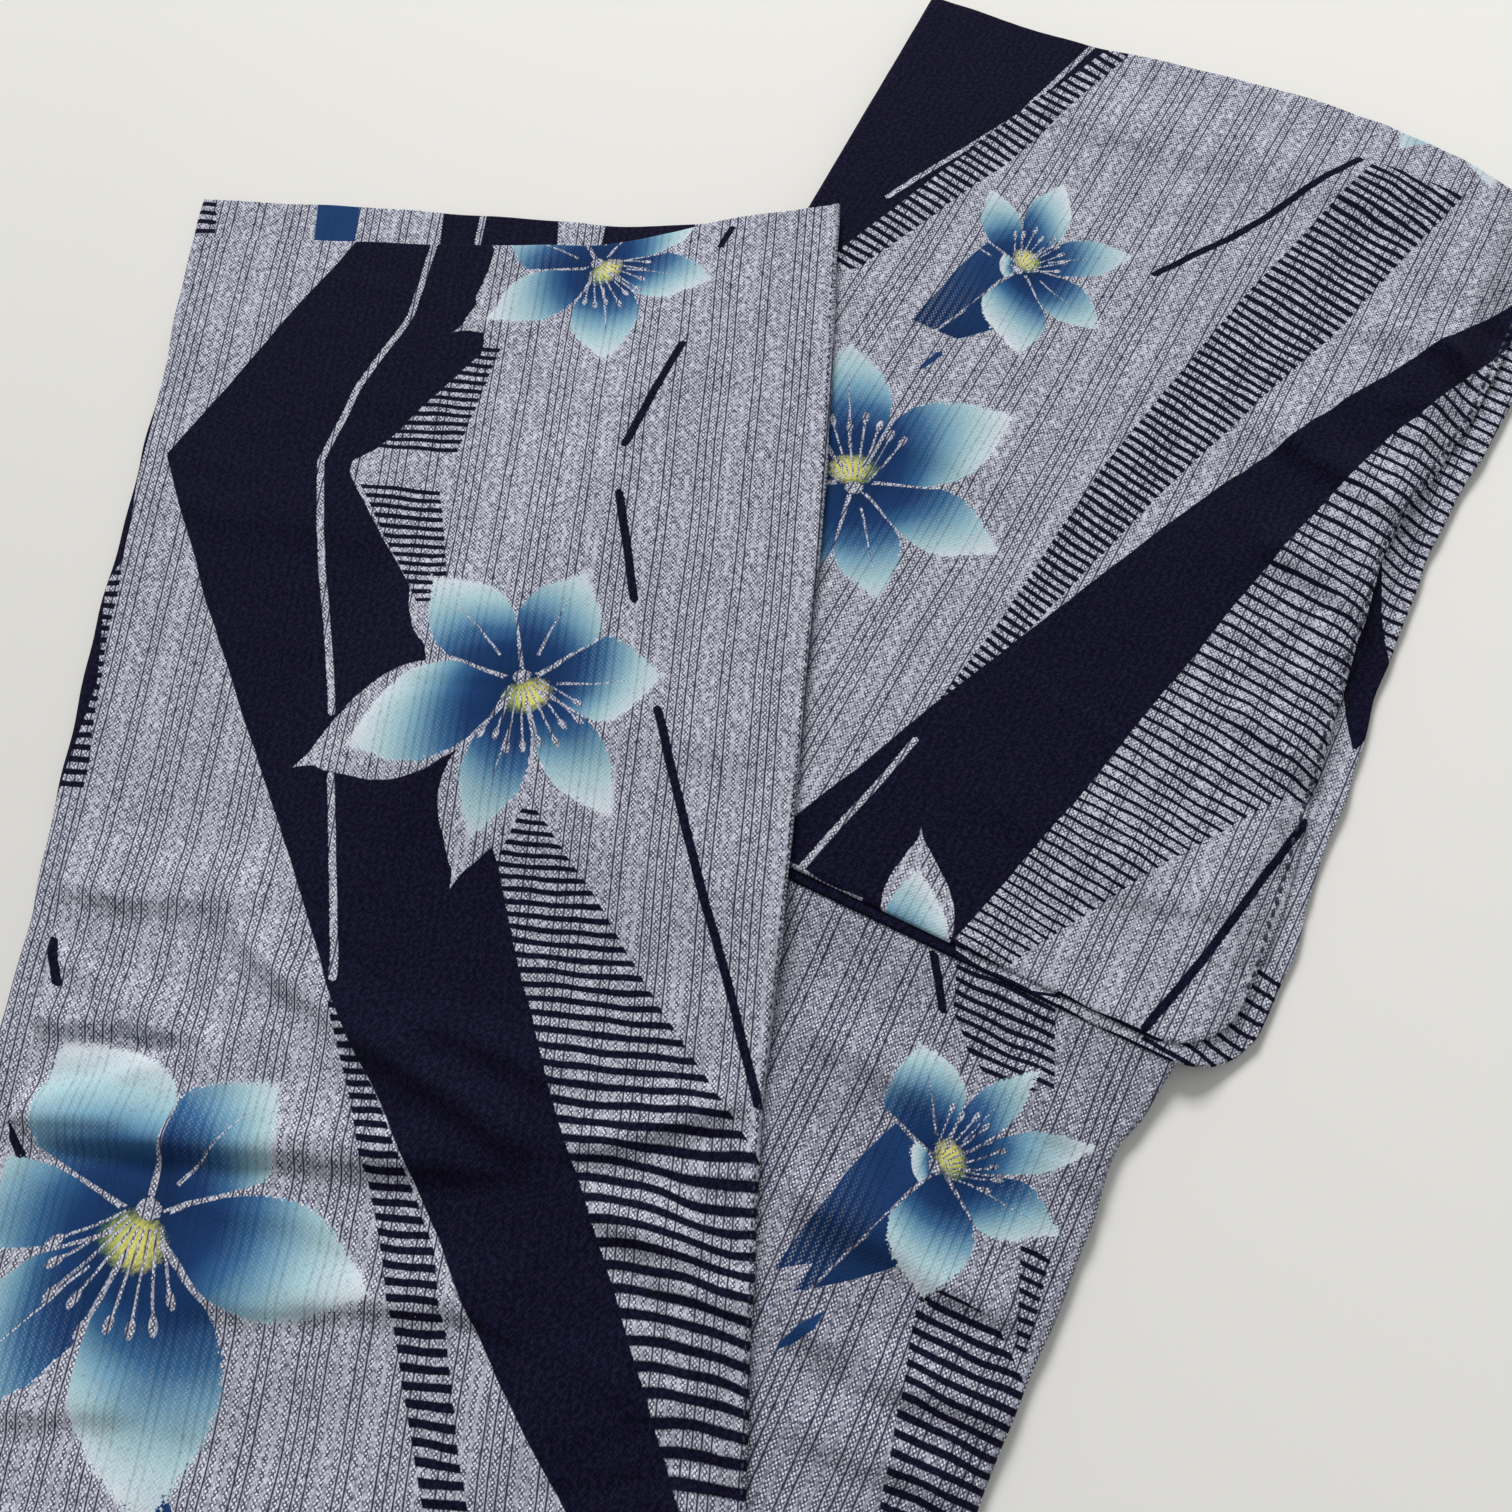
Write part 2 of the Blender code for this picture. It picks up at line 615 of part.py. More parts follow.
def sleeve_columns(left_columns, cuffs):
    """Columns of a sleeve layer: its left edge, the columns both layers share, and its cuff."""
    body_right = table_edge(BODY_SECTIONS, "right")
    front_cuff = table_edge(CUFF_SECTIONS, "front_cuff")

    def slope_top(nominal):
        return min(body_right(nominal) + 0.2 * SLEEVE_SLOPE_START, front_cuff(nominal) - 0.010)

    shared = plain_columns(fixed(SLEEVE_LEFT_REF), slope_top, SLEEVE_COLUMNS, False, False)
    slope = plain_columns(slope_top, front_cuff, SLEEVE_SLOPE_COLUMNS, True, False)
    return left_columns + shared + slope + cuffs


def sleeve_puckers(along, across, cuff):
    """Height of the puckers that the stitched cuff draws up."""
    near = ease(1.0 - (cuff - across) / CUFF_PUCKER_RUN)
    wave = (math.sin(2.0 * math.pi * along / CUFF_PUCKER_PITCH)
            * math.sin(2.0 * math.pi * along / CUFF_PUCKER_BEAT + 0.8))
    return CUFF_PUCKER * near * (0.5 + 0.5 * wave)


def build_sleeves():
    """The left sleeve's two layers on the body, and the right sleeve folded under it."""
    back_cuff = table_edge(CUFF_SECTIONS, "back_cuff")
    front_cuff = table_edge(CUFF_SECTIONS, "front_cuff")
    left = fixed(SLEEVE_LEFT)
    inner_left = fixed(SLEEVE_LEFT + SLEEVE_LAYER_INSET)

    columns = sleeve_columns(cut_edge(inner_left),
                             plain_columns(front_cuff, back_cuff, SLEEVE_SLOPE_COLUMNS, True, False))
    bottoms = (SLEEVE_BOTTOM_BACK, CUFF_SECTIONS[1].along, SLEEVE_BOTTOM_FRONT)
    outside, inside = cloth_faces(
        SHOULDER, sleeve_stations(bottoms, SLEEVE_LAYER_INSET), columns,
        lambda x, y, along, across: sleeve_level(along, across) + CLOTH)
    closed_piece("sleeve_left_back", "ground_dark", outside, inside)

    columns = sleeve_columns(turned_edge(left, 1.0, FOLD_RADIUS, FOLD_REACH), [])
    outside, inside = cloth_faces(
        SHOULDER, sleeve_stations((SLEEVE_BOTTOM_FRONT,), 0.0), columns,
        lambda x, y, along, across: sleeve_level(along, across) + LAYER + CLOTH
        + ridge_height(SLEEVE_RIDGES, along, across)
        + sleeve_puckers(along, across, front_cuff(along)))
    closed_piece("sleeve_left_front", "ground", outside, inside)

    stations = sleeve_stations((SLEEVE_BOTTOM_UNDER,), UNDER_SLEEVE_TOP_INSET)
    columns = plain_columns(edge_at(left, 0.001), edge_at(back_cuff, -UNDER_SLEEVE_INSET), 7, False, False)
    stack_piece("sleeve_right", "ground_dark", SHOULDER, stations, columns,
                lambda x, y, along, across: 0.0, UNDER_SLEEVE_HEIGHT, 2, 0.0009)


def clear_scene():
    """Remove every object, so that the model stands alone."""
    for item in list(bpy.data.objects):
        bpy.data.objects.remove(item, do_unlink=True)


def main():
    clear_scene()
    build_skirt_half()
    build_shoulder_half()
    build_sleeves()


main()
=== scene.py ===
"""The printed cloth, the sewing and the stage of a cotton yukata robe, folded flat in a narrow V.

The skirt half lies on the shoulder half. Each half has its own measures: along runs from the turn
between the halves to the free end, and across runs to the right. Sizes are in metres.
"""

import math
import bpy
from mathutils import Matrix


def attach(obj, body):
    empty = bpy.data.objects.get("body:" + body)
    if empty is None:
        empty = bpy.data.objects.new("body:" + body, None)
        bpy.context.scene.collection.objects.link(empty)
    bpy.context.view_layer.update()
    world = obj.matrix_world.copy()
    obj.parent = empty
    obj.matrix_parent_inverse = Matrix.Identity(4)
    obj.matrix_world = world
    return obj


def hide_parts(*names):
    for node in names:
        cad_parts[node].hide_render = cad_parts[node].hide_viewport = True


bl_info = {
    "name": "Folded Yukata",
    "version": (1, 0, 0),
    "blender": (4, 5, 0),
    "location": "View3D > Sidebar > Yukata",
    "description": "Lays the printed cloth of a folded cotton yukata over its solids",
    "category": "Object",
}

from collections import namedtuple
from functools import partialmethod

import bmesh
import bpy
import numpy as np
from mathutils import Matrix, Vector

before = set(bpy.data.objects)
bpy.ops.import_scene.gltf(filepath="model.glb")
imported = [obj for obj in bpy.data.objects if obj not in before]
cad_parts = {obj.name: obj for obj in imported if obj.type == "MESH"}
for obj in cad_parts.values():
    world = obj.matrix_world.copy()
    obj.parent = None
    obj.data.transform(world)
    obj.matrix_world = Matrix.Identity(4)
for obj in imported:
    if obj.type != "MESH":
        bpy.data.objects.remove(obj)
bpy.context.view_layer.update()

# Plan of the two halves, as bearings clockwise from +Y
SKIRT_BEARING = math.radians(4.75)
SHOULDER_BEARING = math.radians(26.3)
OFFSET_X = 0.032
OFFSET_Y = 0.2097

# Heights of the outer faces, above what each half lies on
LAYER = 0.0015
CLOTH_GAP = 0.0003
HIDDEN_LAYERS = 4
HIDDEN_PITCH = 0.001
SKIRT_CORE_TOP = 0.004
SKIRT_UNDER_TOP = 0.0055
SKIRT_TOP = 0.007
BODY_CORE_TOP = 0.0055
BODY_TOP = 0.007
BODY_RISE = 0.003
BODY_RISE_FROM = 0.133
BODY_RISE_TO = 0.161
SLEEVE_BASE = 0.0103
SLEEVE_BACK_TOP = 0.0115
SLEEVE_TOP = 0.013
SLEEVE_SLOPE_START = 0.005
SLEEVE_SLOPE_RUN = 0.022
CLIMB_RUN = 0.085
CLIMB_LEAD = 0.018
SLEEVE_CLIMB_FROM = 0.088
SLEEVE_CLIMB_TO = 0.148

# The turn between the halves, in the skirt half's measures
TURN_LEFT_ALONG = -0.233
TURN_RIGHT_ALONG = -0.241
TURN_LEFT_ACROSS = -0.33
TURN_RADIUS = 0.00715
TURN_BULGE = 0.004
TURN_STEPS = 14

CORE_INSET = 0.0034
COLLAR_WIDTH = 0.066
COLLAR_PITCH = 0.00133
COLLAR_START = 0.245
COLLAR_END = 0.636
SHOULDER_END = 0.64
SLEEVE_LEFT = -0.2105
SLEEVE_BOTTOM_FRONT = 0.1655
SLEEVE_BOTTOM_BACK = 0.1606
SLEEVE_BOTTOM_UNDER = 0.164
CORNER_RADIUS = 0.034
FRONT_CORNER = 0.1325
BACK_CORNER = 0.144

# Thickness of the cloth that shows, of the layers folded inside, and of the hidden collar and sleeve
SHEET = 0.0009
INNER_SHEET = 0.0008
HIDDEN_SHEET = 0.0011
# Length, width and height of one stitch
EDGE_STITCH = (0.0026, 0.001, 0.0009)
CUFF_STITCH = (0.0044, 0.0018, 0.0016)
EDGE_REACH = (-0.215, 0.5)     # from where to where a row of stitches runs along
CUFF_REACH = (0.206, 0.628)
CUFF_PITCH = 1.25              # of the cuff's stitches, to the edge's
SEWING_STEP = 0.001            # half of the run over which a stitch finds its heading
DROP_HEIGHT = 0.2              # from which a stitch falls onto its cloth


def rows(kind, *table):
    """A table whose rows have the named columns of their kind."""
    return tuple(kind(*row) for row in table)


SkirtSection = namedtuple("SkirtSection", "along panel_left panel_right under_left")
SKIRT_SECTIONS = rows(
    SkirtSection,
    (-0.241, -0.3245, 0.0, -0.33),
    (-0.16, -0.319, 0.001, -0.33),
    (-0.074, -0.312, 0.002, -0.33),
    (0.0, -0.3105, -0.0015, -0.3295),
    (0.061, -0.311, -0.003, -0.329),
    (0.125, -0.315, -0.0015, -0.3275),
    (0.16, -0.3165, 0.0, -0.328),
    (0.205, -0.318, 0.0005, -0.33),
    (0.286, -0.324, 0.002, -0.331),
    (0.36, -0.3275, 0.003, -0.33),
    (0.425, -0.329, 0.001, -0.33),
    (0.475, -0.3305, 0.0, -0.3315),
    (0.53, -0.331, -0.001, -0.333),
)

HemSection = namedtuple("HemSection", "across panel_hem under_hem")
HEM_SECTIONS = rows(
    HemSection,
    (-0.34, 0.4885, 0.5145),
    (-0.25, 0.493, 0.516),
    (-0.173, 0.497, 0.516),
    (-0.11, 0.503, 0.5145),
    (-0.067, 0.511, 0.513),
    (-0.02, 0.5215, 0.514),
    (0.004, 0.528, 0.5145),
)

BodySection = namedtuple("BodySection", "along left right")
BODY_SECTIONS = rows(
    BodySection,
    (-0.34, -0.221, 0.087),
    (-0.224, -0.215, 0.089),
    (-0.12, -0.209, 0.106),
    (-0.03, -0.206, 0.109),
    (0.05, -0.205, 0.109),
    (0.085, -0.205, 0.1075),
    (0.1, -0.205, 0.112),
    (0.14, -0.2045, 0.116),
    (0.17, -0.2045, 0.113),
    (0.22, -0.204, 0.108),
    (0.64, -0.204, 0.106),
)

CuffSection = namedtuple("CuffSection", "along front_cuff back_cuff")
CUFF_SECTIONS = rows(
    CuffSection,
    (0.159, 0.132, 0.144),
    (0.178, 0.1335, 0.145),
    (0.2, 0.134, 0.145),
    (0.25, 0.1325, 0.143),
    (0.288, 0.129, 0.1425),
    (0.326, 0.125, 0.1415),
    (0.362, 0.1235, 0.1395),
    (0.396, 0.1205, 0.139),
    (0.427, 0.118, 0.139),
    (0.455, 0.1215, 0.14),
    (0.494, 0.13, 0.143),
    (0.542, 0.136, 0.149),
    (0.6, 0.14, 0.1515),
    (0.63, 0.139, 0.149),
)

ShoulderSection = namedtuple("ShoulderSection", "across top")
SHOULDER_SECTIONS = rows(
    ShoulderSection,
    (-0.215, 0.6435),
    (-0.163, 0.646),
    (-0.119, 0.65),
    (-0.065, 0.66),
    (-0.004, 0.6675),
    (0.039, 0.6685),
    (0.07, 0.667),
    (0.112, 0.656),
    (0.142, 0.64),
    (0.155, 0.628),
)

# Folds across a panel, as in the solids: a ridge, tilted, between two sides
Ridge = namedtuple("Ridge", "along tilt start end half_width height")
SKIRT_RIDGES = rows(
    Ridge,
    (0.068, 0.01, -0.3, -0.02, 0.02, 0.0022),
    (0.112, -0.03, -0.33, -0.235, 0.018, 0.0016),
    (-0.035, 0.06, -0.11, 0.0, 0.022, 0.0026),
)
BODY_RIDGES = rows(
    Ridge,
    (0.095, 0.05, 0.008, 0.11, 0.02, 0.0018),
    (-0.04, -0.04, 0.032, 0.105, 0.026, 0.0016),
)
SLEEVE_RIDGES = rows(
    Ridge,
    (0.41, 0.06, 0.02, 0.125, 0.024, 0.0028),
    (0.5, 0.09, 0.01, 0.14, 0.026, 0.0024),
    (0.235, -0.02, 0.03, 0.13, 0.022, 0.0014),
)

# Creases: a soft trough (or ridge) along a line, with a lip on its far side
Crease = namedtuple("Crease", "along_a across_a along_b across_b bow half_width height lip")
SKIRT_CREASES = rows(
    Crease,
    (0.0735, -0.318, 0.0805, -0.228, 0.001, 0.0022, -0.0011, 0.0006),
    (0.027, -0.315, 0.043, -0.112, 0.004, 0.0042, -0.0011, 0.0009),
    (0.043, -0.13, 0.041, -0.03, 0.002, 0.005, -0.0008, 0.0008),
    (0.149, -0.32, 0.143, -0.222, 0.002, 0.006, -0.0008, 0.0006),
    (0.12, -0.22, 0.068, -0.172, 0.003, 0.007, 0.0012, -0.0004),
    (0.076, -0.165, 0.038, -0.075, 0.004, 0.01, 0.0016, -0.0007),
    (0.058, -0.318, 0.05, -0.23, 0.002, 0.006, 0.0008, -0.0005),
    (-0.024, -0.31, -0.02, -0.15, 0.002, 0.005, -0.0005, 0.0004),
    (0.072, -0.09, 0.047, -0.022, 0.001, 0.006, -0.0007, 0.0007),
    (0.01, -0.062, -0.115, -0.04, 0.006, 0.0052, 0.0016, -0.0007),
    (0.008, -0.038, -0.096, -0.014, 0.005, 0.0046, 0.0017, -0.0009),
    (-0.016, -0.02, -0.084, -0.006, 0.003, 0.003, 0.0012, -0.0008),
    (-0.03, -0.088, -0.15, -0.06, 0.006, 0.007, 0.001, -0.0006),
    (-0.129, -0.3, -0.125, -0.04, 0.004, 0.006, -0.0008, 0.0008),
    (-0.19, -0.29, -0.184, -0.12, 0.003, 0.007, 0.001, -0.0005),
    (0.255, -0.3, 0.252, -0.12, 0.003, 0.006, -0.0003, 0.0003),
    (0.385, -0.28, 0.379, -0.04, 0.003, 0.006, -0.0003, 0.0003),
)
BODY_CREASES = rows(
    Crease,
    (0.036, -0.02, 0.043, 0.004, 0.001, 0.0024, -0.0009, 0.0008),
    (0.112, 0.058, 0.064, 0.082, 0.004, 0.004, -0.001, 0.0011),
    (0.08, -0.045, 0.11, 0.05, 0.006, 0.011, 0.0014, -0.0004),
    (0.154, 0.04, 0.156, 0.11, 0.002, 0.006, -0.0006, 0.0006),
    (-0.008, 0.05, -0.018, 0.108, 0.002, 0.006, 0.0013, -0.0006),
    (-0.03, 0.04, -0.042, 0.106, 0.002, 0.005, -0.0007, 0.0008),
    (0.018, 0.07, 0.026, 0.11, 0.001, 0.005, 0.0009, -0.0004),
)
SLEEVE_CREASES = rows(
    Crease,
    (0.456, 0.06, 0.438, 0.122, 0.002, 0.005, 0.0013, -0.0007),
    (0.415, 0.08, 0.394, 0.12, 0.001, 0.004, -0.0009, 0.0009),
    (0.35, 0.09, 0.34, 0.124, 0.001, 0.0046, 0.0009, -0.0004),
    (0.5, 0.08, 0.515, 0.132, 0.001, 0.005, 0.001, -0.0006),
    (0.57, 0.07, 0.585, 0.138, 0.001, 0.007, -0.0006, 0.0006),
    (0.61, -0.1, 0.63, 0.11, 0.006, 0.009, 0.0009, -0.0004),
    (0.3, -0.08, 0.27, 0.04, 0.004, 0.011, 0.0006, -0.0003),
    (0.235, 0.08, 0.215, 0.128, 0.001, 0.004, -0.0005, 0.0006),
    (0.535, -0.18, 0.53, -0.02, 0.004, 0.009, 0.0005, -0.0003),
)

# Long soft folds, from a to b: the side to the right of the run is steep and the other is gentle
Fold = namedtuple("Fold", "along_a across_a along_b across_b bow steep gentle height")
SKIRT_FOLDS = rows(
    Fold,
    (0.0395, -0.335, 0.043, -0.07, 0.0012, 0.005, 0.013, 0.007),
    (0.048, -0.335, 0.049, -0.25, 0.0014, 0.004, 0.011, 0.005),
    (0.088, -0.335, 0.083, -0.23, 0.0016, 0.004, 0.013, 0.0045),
    (0.144, -0.335, 0.146, -0.205, 0.0024, 0.0066, 0.015, 0.006),
    (0.14, -0.25, 0.074, -0.142, 0.0022, 0.0064, 0.012, 0.0065),
    (0.096, -0.183, 0.044, -0.09, 0.0018, 0.006, 0.01, 0.007),
    (0.101, -0.164, 0.076, -0.082, 0.0016, 0.006, 0.01, 0.0045),
    (0.048, -0.086, 0.082, 0.0, 0.0012, 0.0052, 0.011, 0.0052),
    (0.029, -0.074, 0.012, -0.015, 0.0014, 0.0052, 0.01, 0.0063),
    (0.006, -0.048, -0.006, 0.004, 0.001, 0.0036, 0.008, 0.005),
    (0.05, -0.056, -0.056, -0.005, 0.0012, 0.007, 0.012, 0.005),
    (-0.019, -0.25, -0.012, -0.08, 0.0024, 0.006, 0.015, 0.0052),
    (-0.066, 0.003, -0.028, -0.035, 0.0014, 0.0046, 0.011, 0.0052),
    (-0.106, 0.002, -0.056, -0.026, 0.0014, 0.0046, 0.009, 0.0052),
    (-0.062, -0.32, -0.056, -0.22, 0.0024, 0.006, 0.015, 0.0042),
    (-0.1, -0.3, -0.093, -0.1, 0.003, 0.008, 0.018, 0.0045),
    (-0.18, -0.3, -0.175, -0.03, 0.003, 0.009, 0.022, 0.0045),
    (0.226, -0.13, 0.23, 0.0, 0.003, 0.009, 0.024, 0.0018),
    (0.335, -0.33, 0.326, -0.18, 0.003, 0.009, 0.024, 0.0018),
)
BODY_FOLDS = rows(
    Fold,
    (0.143, 0.048, 0.095, 0.112, 0.0024, 0.006, 0.014, 0.005),
    (0.103, -0.05, 0.104, 0.04, 0.0024, 0.007, 0.015, 0.0048),
    (0.048, -0.05, 0.044, 0.056, 0.0024, 0.009, 0.014, 0.0067),
    (0.04, 0.03, 0.04, 0.112, 0.0014, 0.0056, 0.012, 0.0053),
    (0.01, -0.02, -0.002, 0.05, 0.002, 0.008, 0.014, 0.006),
    (-0.006, 0.044, 0.001, 0.112, 0.002, 0.005, 0.012, 0.0053),
    (-0.03, 0.02, -0.034, 0.11, 0.0024, 0.006, 0.014, 0.0043),
    (-0.07, 0.02, -0.09, 0.108, 0.0024, 0.007, 0.016, 0.0043),
)
SLEEVE_FOLDS = rows(
    Fold,
    (0.47, 0.03, 0.448, 0.13, 0.0024, 0.0064, 0.015, 0.0052),
    (0.408, 0.056, 0.384, 0.126, 0.0014, 0.005, 0.012, 0.0049),
    (0.32, 0.07, 0.304, 0.13, 0.0014, 0.006, 0.014, 0.0034),
    (0.535, 0.05, 0.553, 0.14, 0.0014, 0.007, 0.017, 0.0039),
    (0.6, -0.15, 0.612, 0.09, 0.004, 0.009, 0.024, 0.0029),
    (0.23, -0.03, 0.223, 0.12, 0.003, 0.008, 0.022, 0.0023),
    (0.39, -0.17, 0.37, -0.02, 0.003, 0.008, 0.022, 0.0021),
)

# Small creases strewn over a stretch of cloth, from a to b, up to a height
Strewn = namedtuple("Strewn", "count along_a across_a along_b across_b height seed")
SPREAD = (0.618, 0.7549, 0.5698, 0.8567, 0.3819)    # steps that fall into no rhythm with each other
SKIRT_STREWN = rows(Strewn, (22, -0.22, -0.31, 0.13, -0.01, 0.0015, 0.31),
                    (12, 0.13, -0.31, 0.48, -0.01, 0.0006, 0.77))
BODY_STREWN = rows(Strewn, (16, -0.2, -0.02, 0.15, 0.1, 0.0014, 0.53))
SLEEVE_STREWN = rows(Strewn, (14, 0.19, 0.02, 0.62, 0.13, 0.0012, 0.19),
                     (9, 0.19, -0.18, 0.62, 0.02, 0.0006, 0.91))

# All the relief of a panel, and how deep it may sink before the layers below would show
Relief = namedtuple("Relief", "ridges creases folds strewn seed depth")
SKIRT_RELIEF = Relief(SKIRT_RIDGES, SKIRT_CREASES, SKIRT_FOLDS, SKIRT_STREWN, 1.3, 0.0015)
BODY_RELIEF = Relief(BODY_RIDGES, BODY_CREASES, BODY_FOLDS, BODY_STREWN, 2.2, 0.0005)
SLEEVE_RELIEF = Relief(SLEEVE_RIDGES, SLEEVE_CREASES, SLEEVE_FOLDS, SLEEVE_STREWN, 3.3, 0.0005)


def smooth(value):
    """Rise smoothly from 0 to 1 as value does."""
    value = np.clip(value, 0.0, 1.0)
    return value * value * (3.0 - 2.0 * value)


def read_table(table, column, position):
    """Read a column of a table at positions between its rows, on a smooth curve."""
    places = np.array([row[0] for row in table])
    values = np.array([getattr(row, column) for row in table])
    last = len(places) - 1
    position = np.clip(position, places[0], places[-1])
    index = np.clip(np.searchsorted(places, position, side="right") - 1, 0, last - 1)
    before, after, beyond = np.maximum(index - 1, 0), index + 1, np.minimum(index + 2, last)
    span = places[after] - places[index]
    share = (position - places[index]) / span
    slope_in = (values[after] - values[before]) / (places[after] - places[before]) * span
    slope_out = (values[beyond] - values[index]) / (places[beyond] - places[index]) * span
    square, cube = share ** 2, share ** 3
    return (values[index] * (2 * cube - 3 * square + 1) + slope_in * (cube - 2 * square + share)
            + values[after] * (3 * square - 2 * cube) + slope_out * (cube - square))


def table_edge(table, column, inset=0.0, amount=0.0, seed=0.0):
    """An edge read from a table and moved by an inset, which wanders a little, as cloth does."""
    return lambda position: read_table(table, column, position) + inset + amount * (
        0.6 * np.sin(61.0 * position + seed) + 0.4 * np.sin(143.0 * position + 2.0 * seed))


def fixed_edge(value):
    """An edge that stays at one place."""
    return lambda position: np.full_like(position, value, dtype=float)


def line_edge(low, high, inset=0.0):
    """A straight edge through two (along, across) points, moved by an inset."""
    slope = (high[0] - low[0]) / (high[1] - low[1])
    return lambda across: low[0] + slope * (across - low[1]) + inset


class Half:
    """One half of the folded strip."""

    def __init__(self, bearing):
        self.sine = math.sin(bearing)
        self.cosine = math.cos(bearing)

    def plan(self, along, across):
        """Place a point given in the half's own measures on the common plan."""
        return along * self.sine + across * self.cosine, along * self.cosine - across * self.sine

    def measure(self, x, y):
        """Give a plan point in the half's own measures."""
        return x * self.sine + y * self.cosine, x * self.cosine - y * self.sine


SKIRT = Half(SKIRT_BEARING)
SHOULDER = Half(SHOULDER_BEARING)
TURN_LEFT = SHOULDER.measure(*SKIRT.plan(TURN_LEFT_ALONG, TURN_LEFT_ACROSS))
TURN_RIGHT = SHOULDER.measure(*SKIRT.plan(TURN_RIGHT_ALONG, 0.0))
SKIRT_TURN = line_edge((TURN_LEFT_ALONG, TURN_LEFT_ACROSS), (TURN_RIGHT_ALONG, 0.0))
SHOULDER_TURN = line_edge(TURN_LEFT, TURN_RIGHT, 0.0002)


def past_rise(along):
    """Share of the body's rise, from 0 near the turn to 1 where the sleeve lies under it."""
    return smooth((along - BODY_RISE_FROM) / (BODY_RISE_TO - BODY_RISE_FROM))


def climb(x, y):
    """Height of the skirt half over the table, where it climbs onto the shoulder half."""
    along, across = SHOULDER.measure(x, y)
    edge = read_table(BODY_SECTIONS, "left", along) - CLIMB_LEAD
    onto_sleeve = smooth((along - SLEEVE_CLIMB_FROM) / (SLEEVE_CLIMB_TO - SLEEVE_CLIMB_FROM))
    height = BODY_TOP + (SLEEVE_TOP - BODY_TOP) * onto_sleeve + CLOTH_GAP
    return height * smooth((across - edge + CLIMB_RUN) / CLIMB_RUN)


def sleeve_level(along, across):
    """Height of the left sleeve's lower face, which slopes down past the body's edge."""
    start = read_table(BODY_SECTIONS, "right", along) + SLEEVE_SLOPE_START
    return SLEEVE_BASE - (SLEEVE_BASE - BODY_RISE) * smooth((across - start) / SLEEVE_SLOPE_RUN)


def ridge_height(ridges, along, across):
    """Height that the large folds add to a panel."""
    total = np.zeros_like(across)
    for ridge in ridges:
        middle, width = 0.5 * (ridge.start + ridge.end), ridge.end - ridge.start
        offset = along - ridge.along - ridge.tilt * (across - middle) / width
        side = np.sin(math.pi * np.clip((across - ridge.start) / width, 0.0, 1.0))
        total += ridge.height * side * np.exp(-(offset / ridge.half_width) ** 2)
    return total


def beside_line(line, along, across):
    """Share of the way from a line's start to its end, and the distance to its left."""
    run_along, run_across = line.along_b - line.along_a, line.across_b - line.across_a
    length = math.hypot(run_along, run_across)
    share = ((along - line.along_a) * run_along + (across - line.across_a) * run_across) / length ** 2
    aside = ((along - line.along_a) * run_across - (across - line.across_a) * run_along) / length
    return share, aside


def fold_height(folds, along, across):
    """Height that the long soft folds add to a panel."""
    total = np.zeros_like(across)
    for fold in folds:
        share, aside = beside_line(fold, along, across)
        sway = np.sin(4.0 * share + 60.0 * fold.along_a) + 0.4 * np.sin(13.0 * share)
        aside = aside - fold.bow * sway
        width = np.where(aside < 0.0, fold.steep, fold.gentle)
        fade = smooth(share / 0.3) * smooth((1.0 - share) / 0.3)
        total += fade * fold.height * np.exp(-(aside / width) ** 2)
    return total


def crease_height(creases, along, across):
    """Height that creases add to a panel: a trough or ridge on a line, and the lip beside it."""
    total = np.zeros_like(across)
    for crease in creases:
        share, aside = beside_line(crease, along, across)
        aside = aside - crease.bow * np.sin(3.3 * share + 0.4) - 0.25 * crease.bow * np.sin(11.0 * share)
        taper = smooth(share / 0.25) * smooth((1.0 - share) / 0.25)
        width = crease.half_width * (0.85 + 0.3 * np.sin(5.0 * share + 1.0) ** 2)
        total += taper * crease.height * np.exp(-(aside / width) ** 2)
        total += taper * crease.lip * np.exp(-((aside - 2.1 * width) / (1.5 * width)) ** 2)
    return total


def strew(patches):
    """Small creases, spread unevenly over patches of cloth and lying mostly across them."""
    creases = []
    for patch in patches:
        for number in range(patch.count):
            far, side, long, tilt, broad = (math.modf(patch.seed + number * step)[0] for step in SPREAD)
            along = patch.along_a + far * (patch.along_b - patch.along_a)
            across = patch.across_a + side * (patch.across_b - patch.across_a)
            length, turn = 0.022 + 0.05 * long, 1.1 * tilt - 0.55
            height = patch.height * (0.35 + 0.65 * long) * (1.0 if number % 3 else -1.0)
            creases.append(Crease(
                along - length * math.sin(turn), across - length * math.cos(turn),
                along + length * math.sin(turn), across + length * math.cos(turn),
                0.0016, 0.0022 + 0.0034 * broad, height, -0.55 * height))
    return tuple(creases)


def panel_relief(form, along, across, slack, extra=0.0):
    """All the relief of a panel, sinking no deeper than the layers below leave room for."""
    swells = slack * (0.0011 * drift(along, across, form.seed, 0.075)
                      + 0.00042 * drift(along, across, form.seed + 3.0, 0.026))
    relief = (ridge_height(form.ridges, along, across) + crease_height(form.creases, along, across)
              + fold_height(form.folds, along, across) + crease_height(strew(form.strewn), along, across)
              + extra + swells)
    sunk = form.depth * (np.exp(np.minimum(relief, 0.0) / form.depth) - 1.0)
    return np.where(relief < 0.0, sunk, relief)


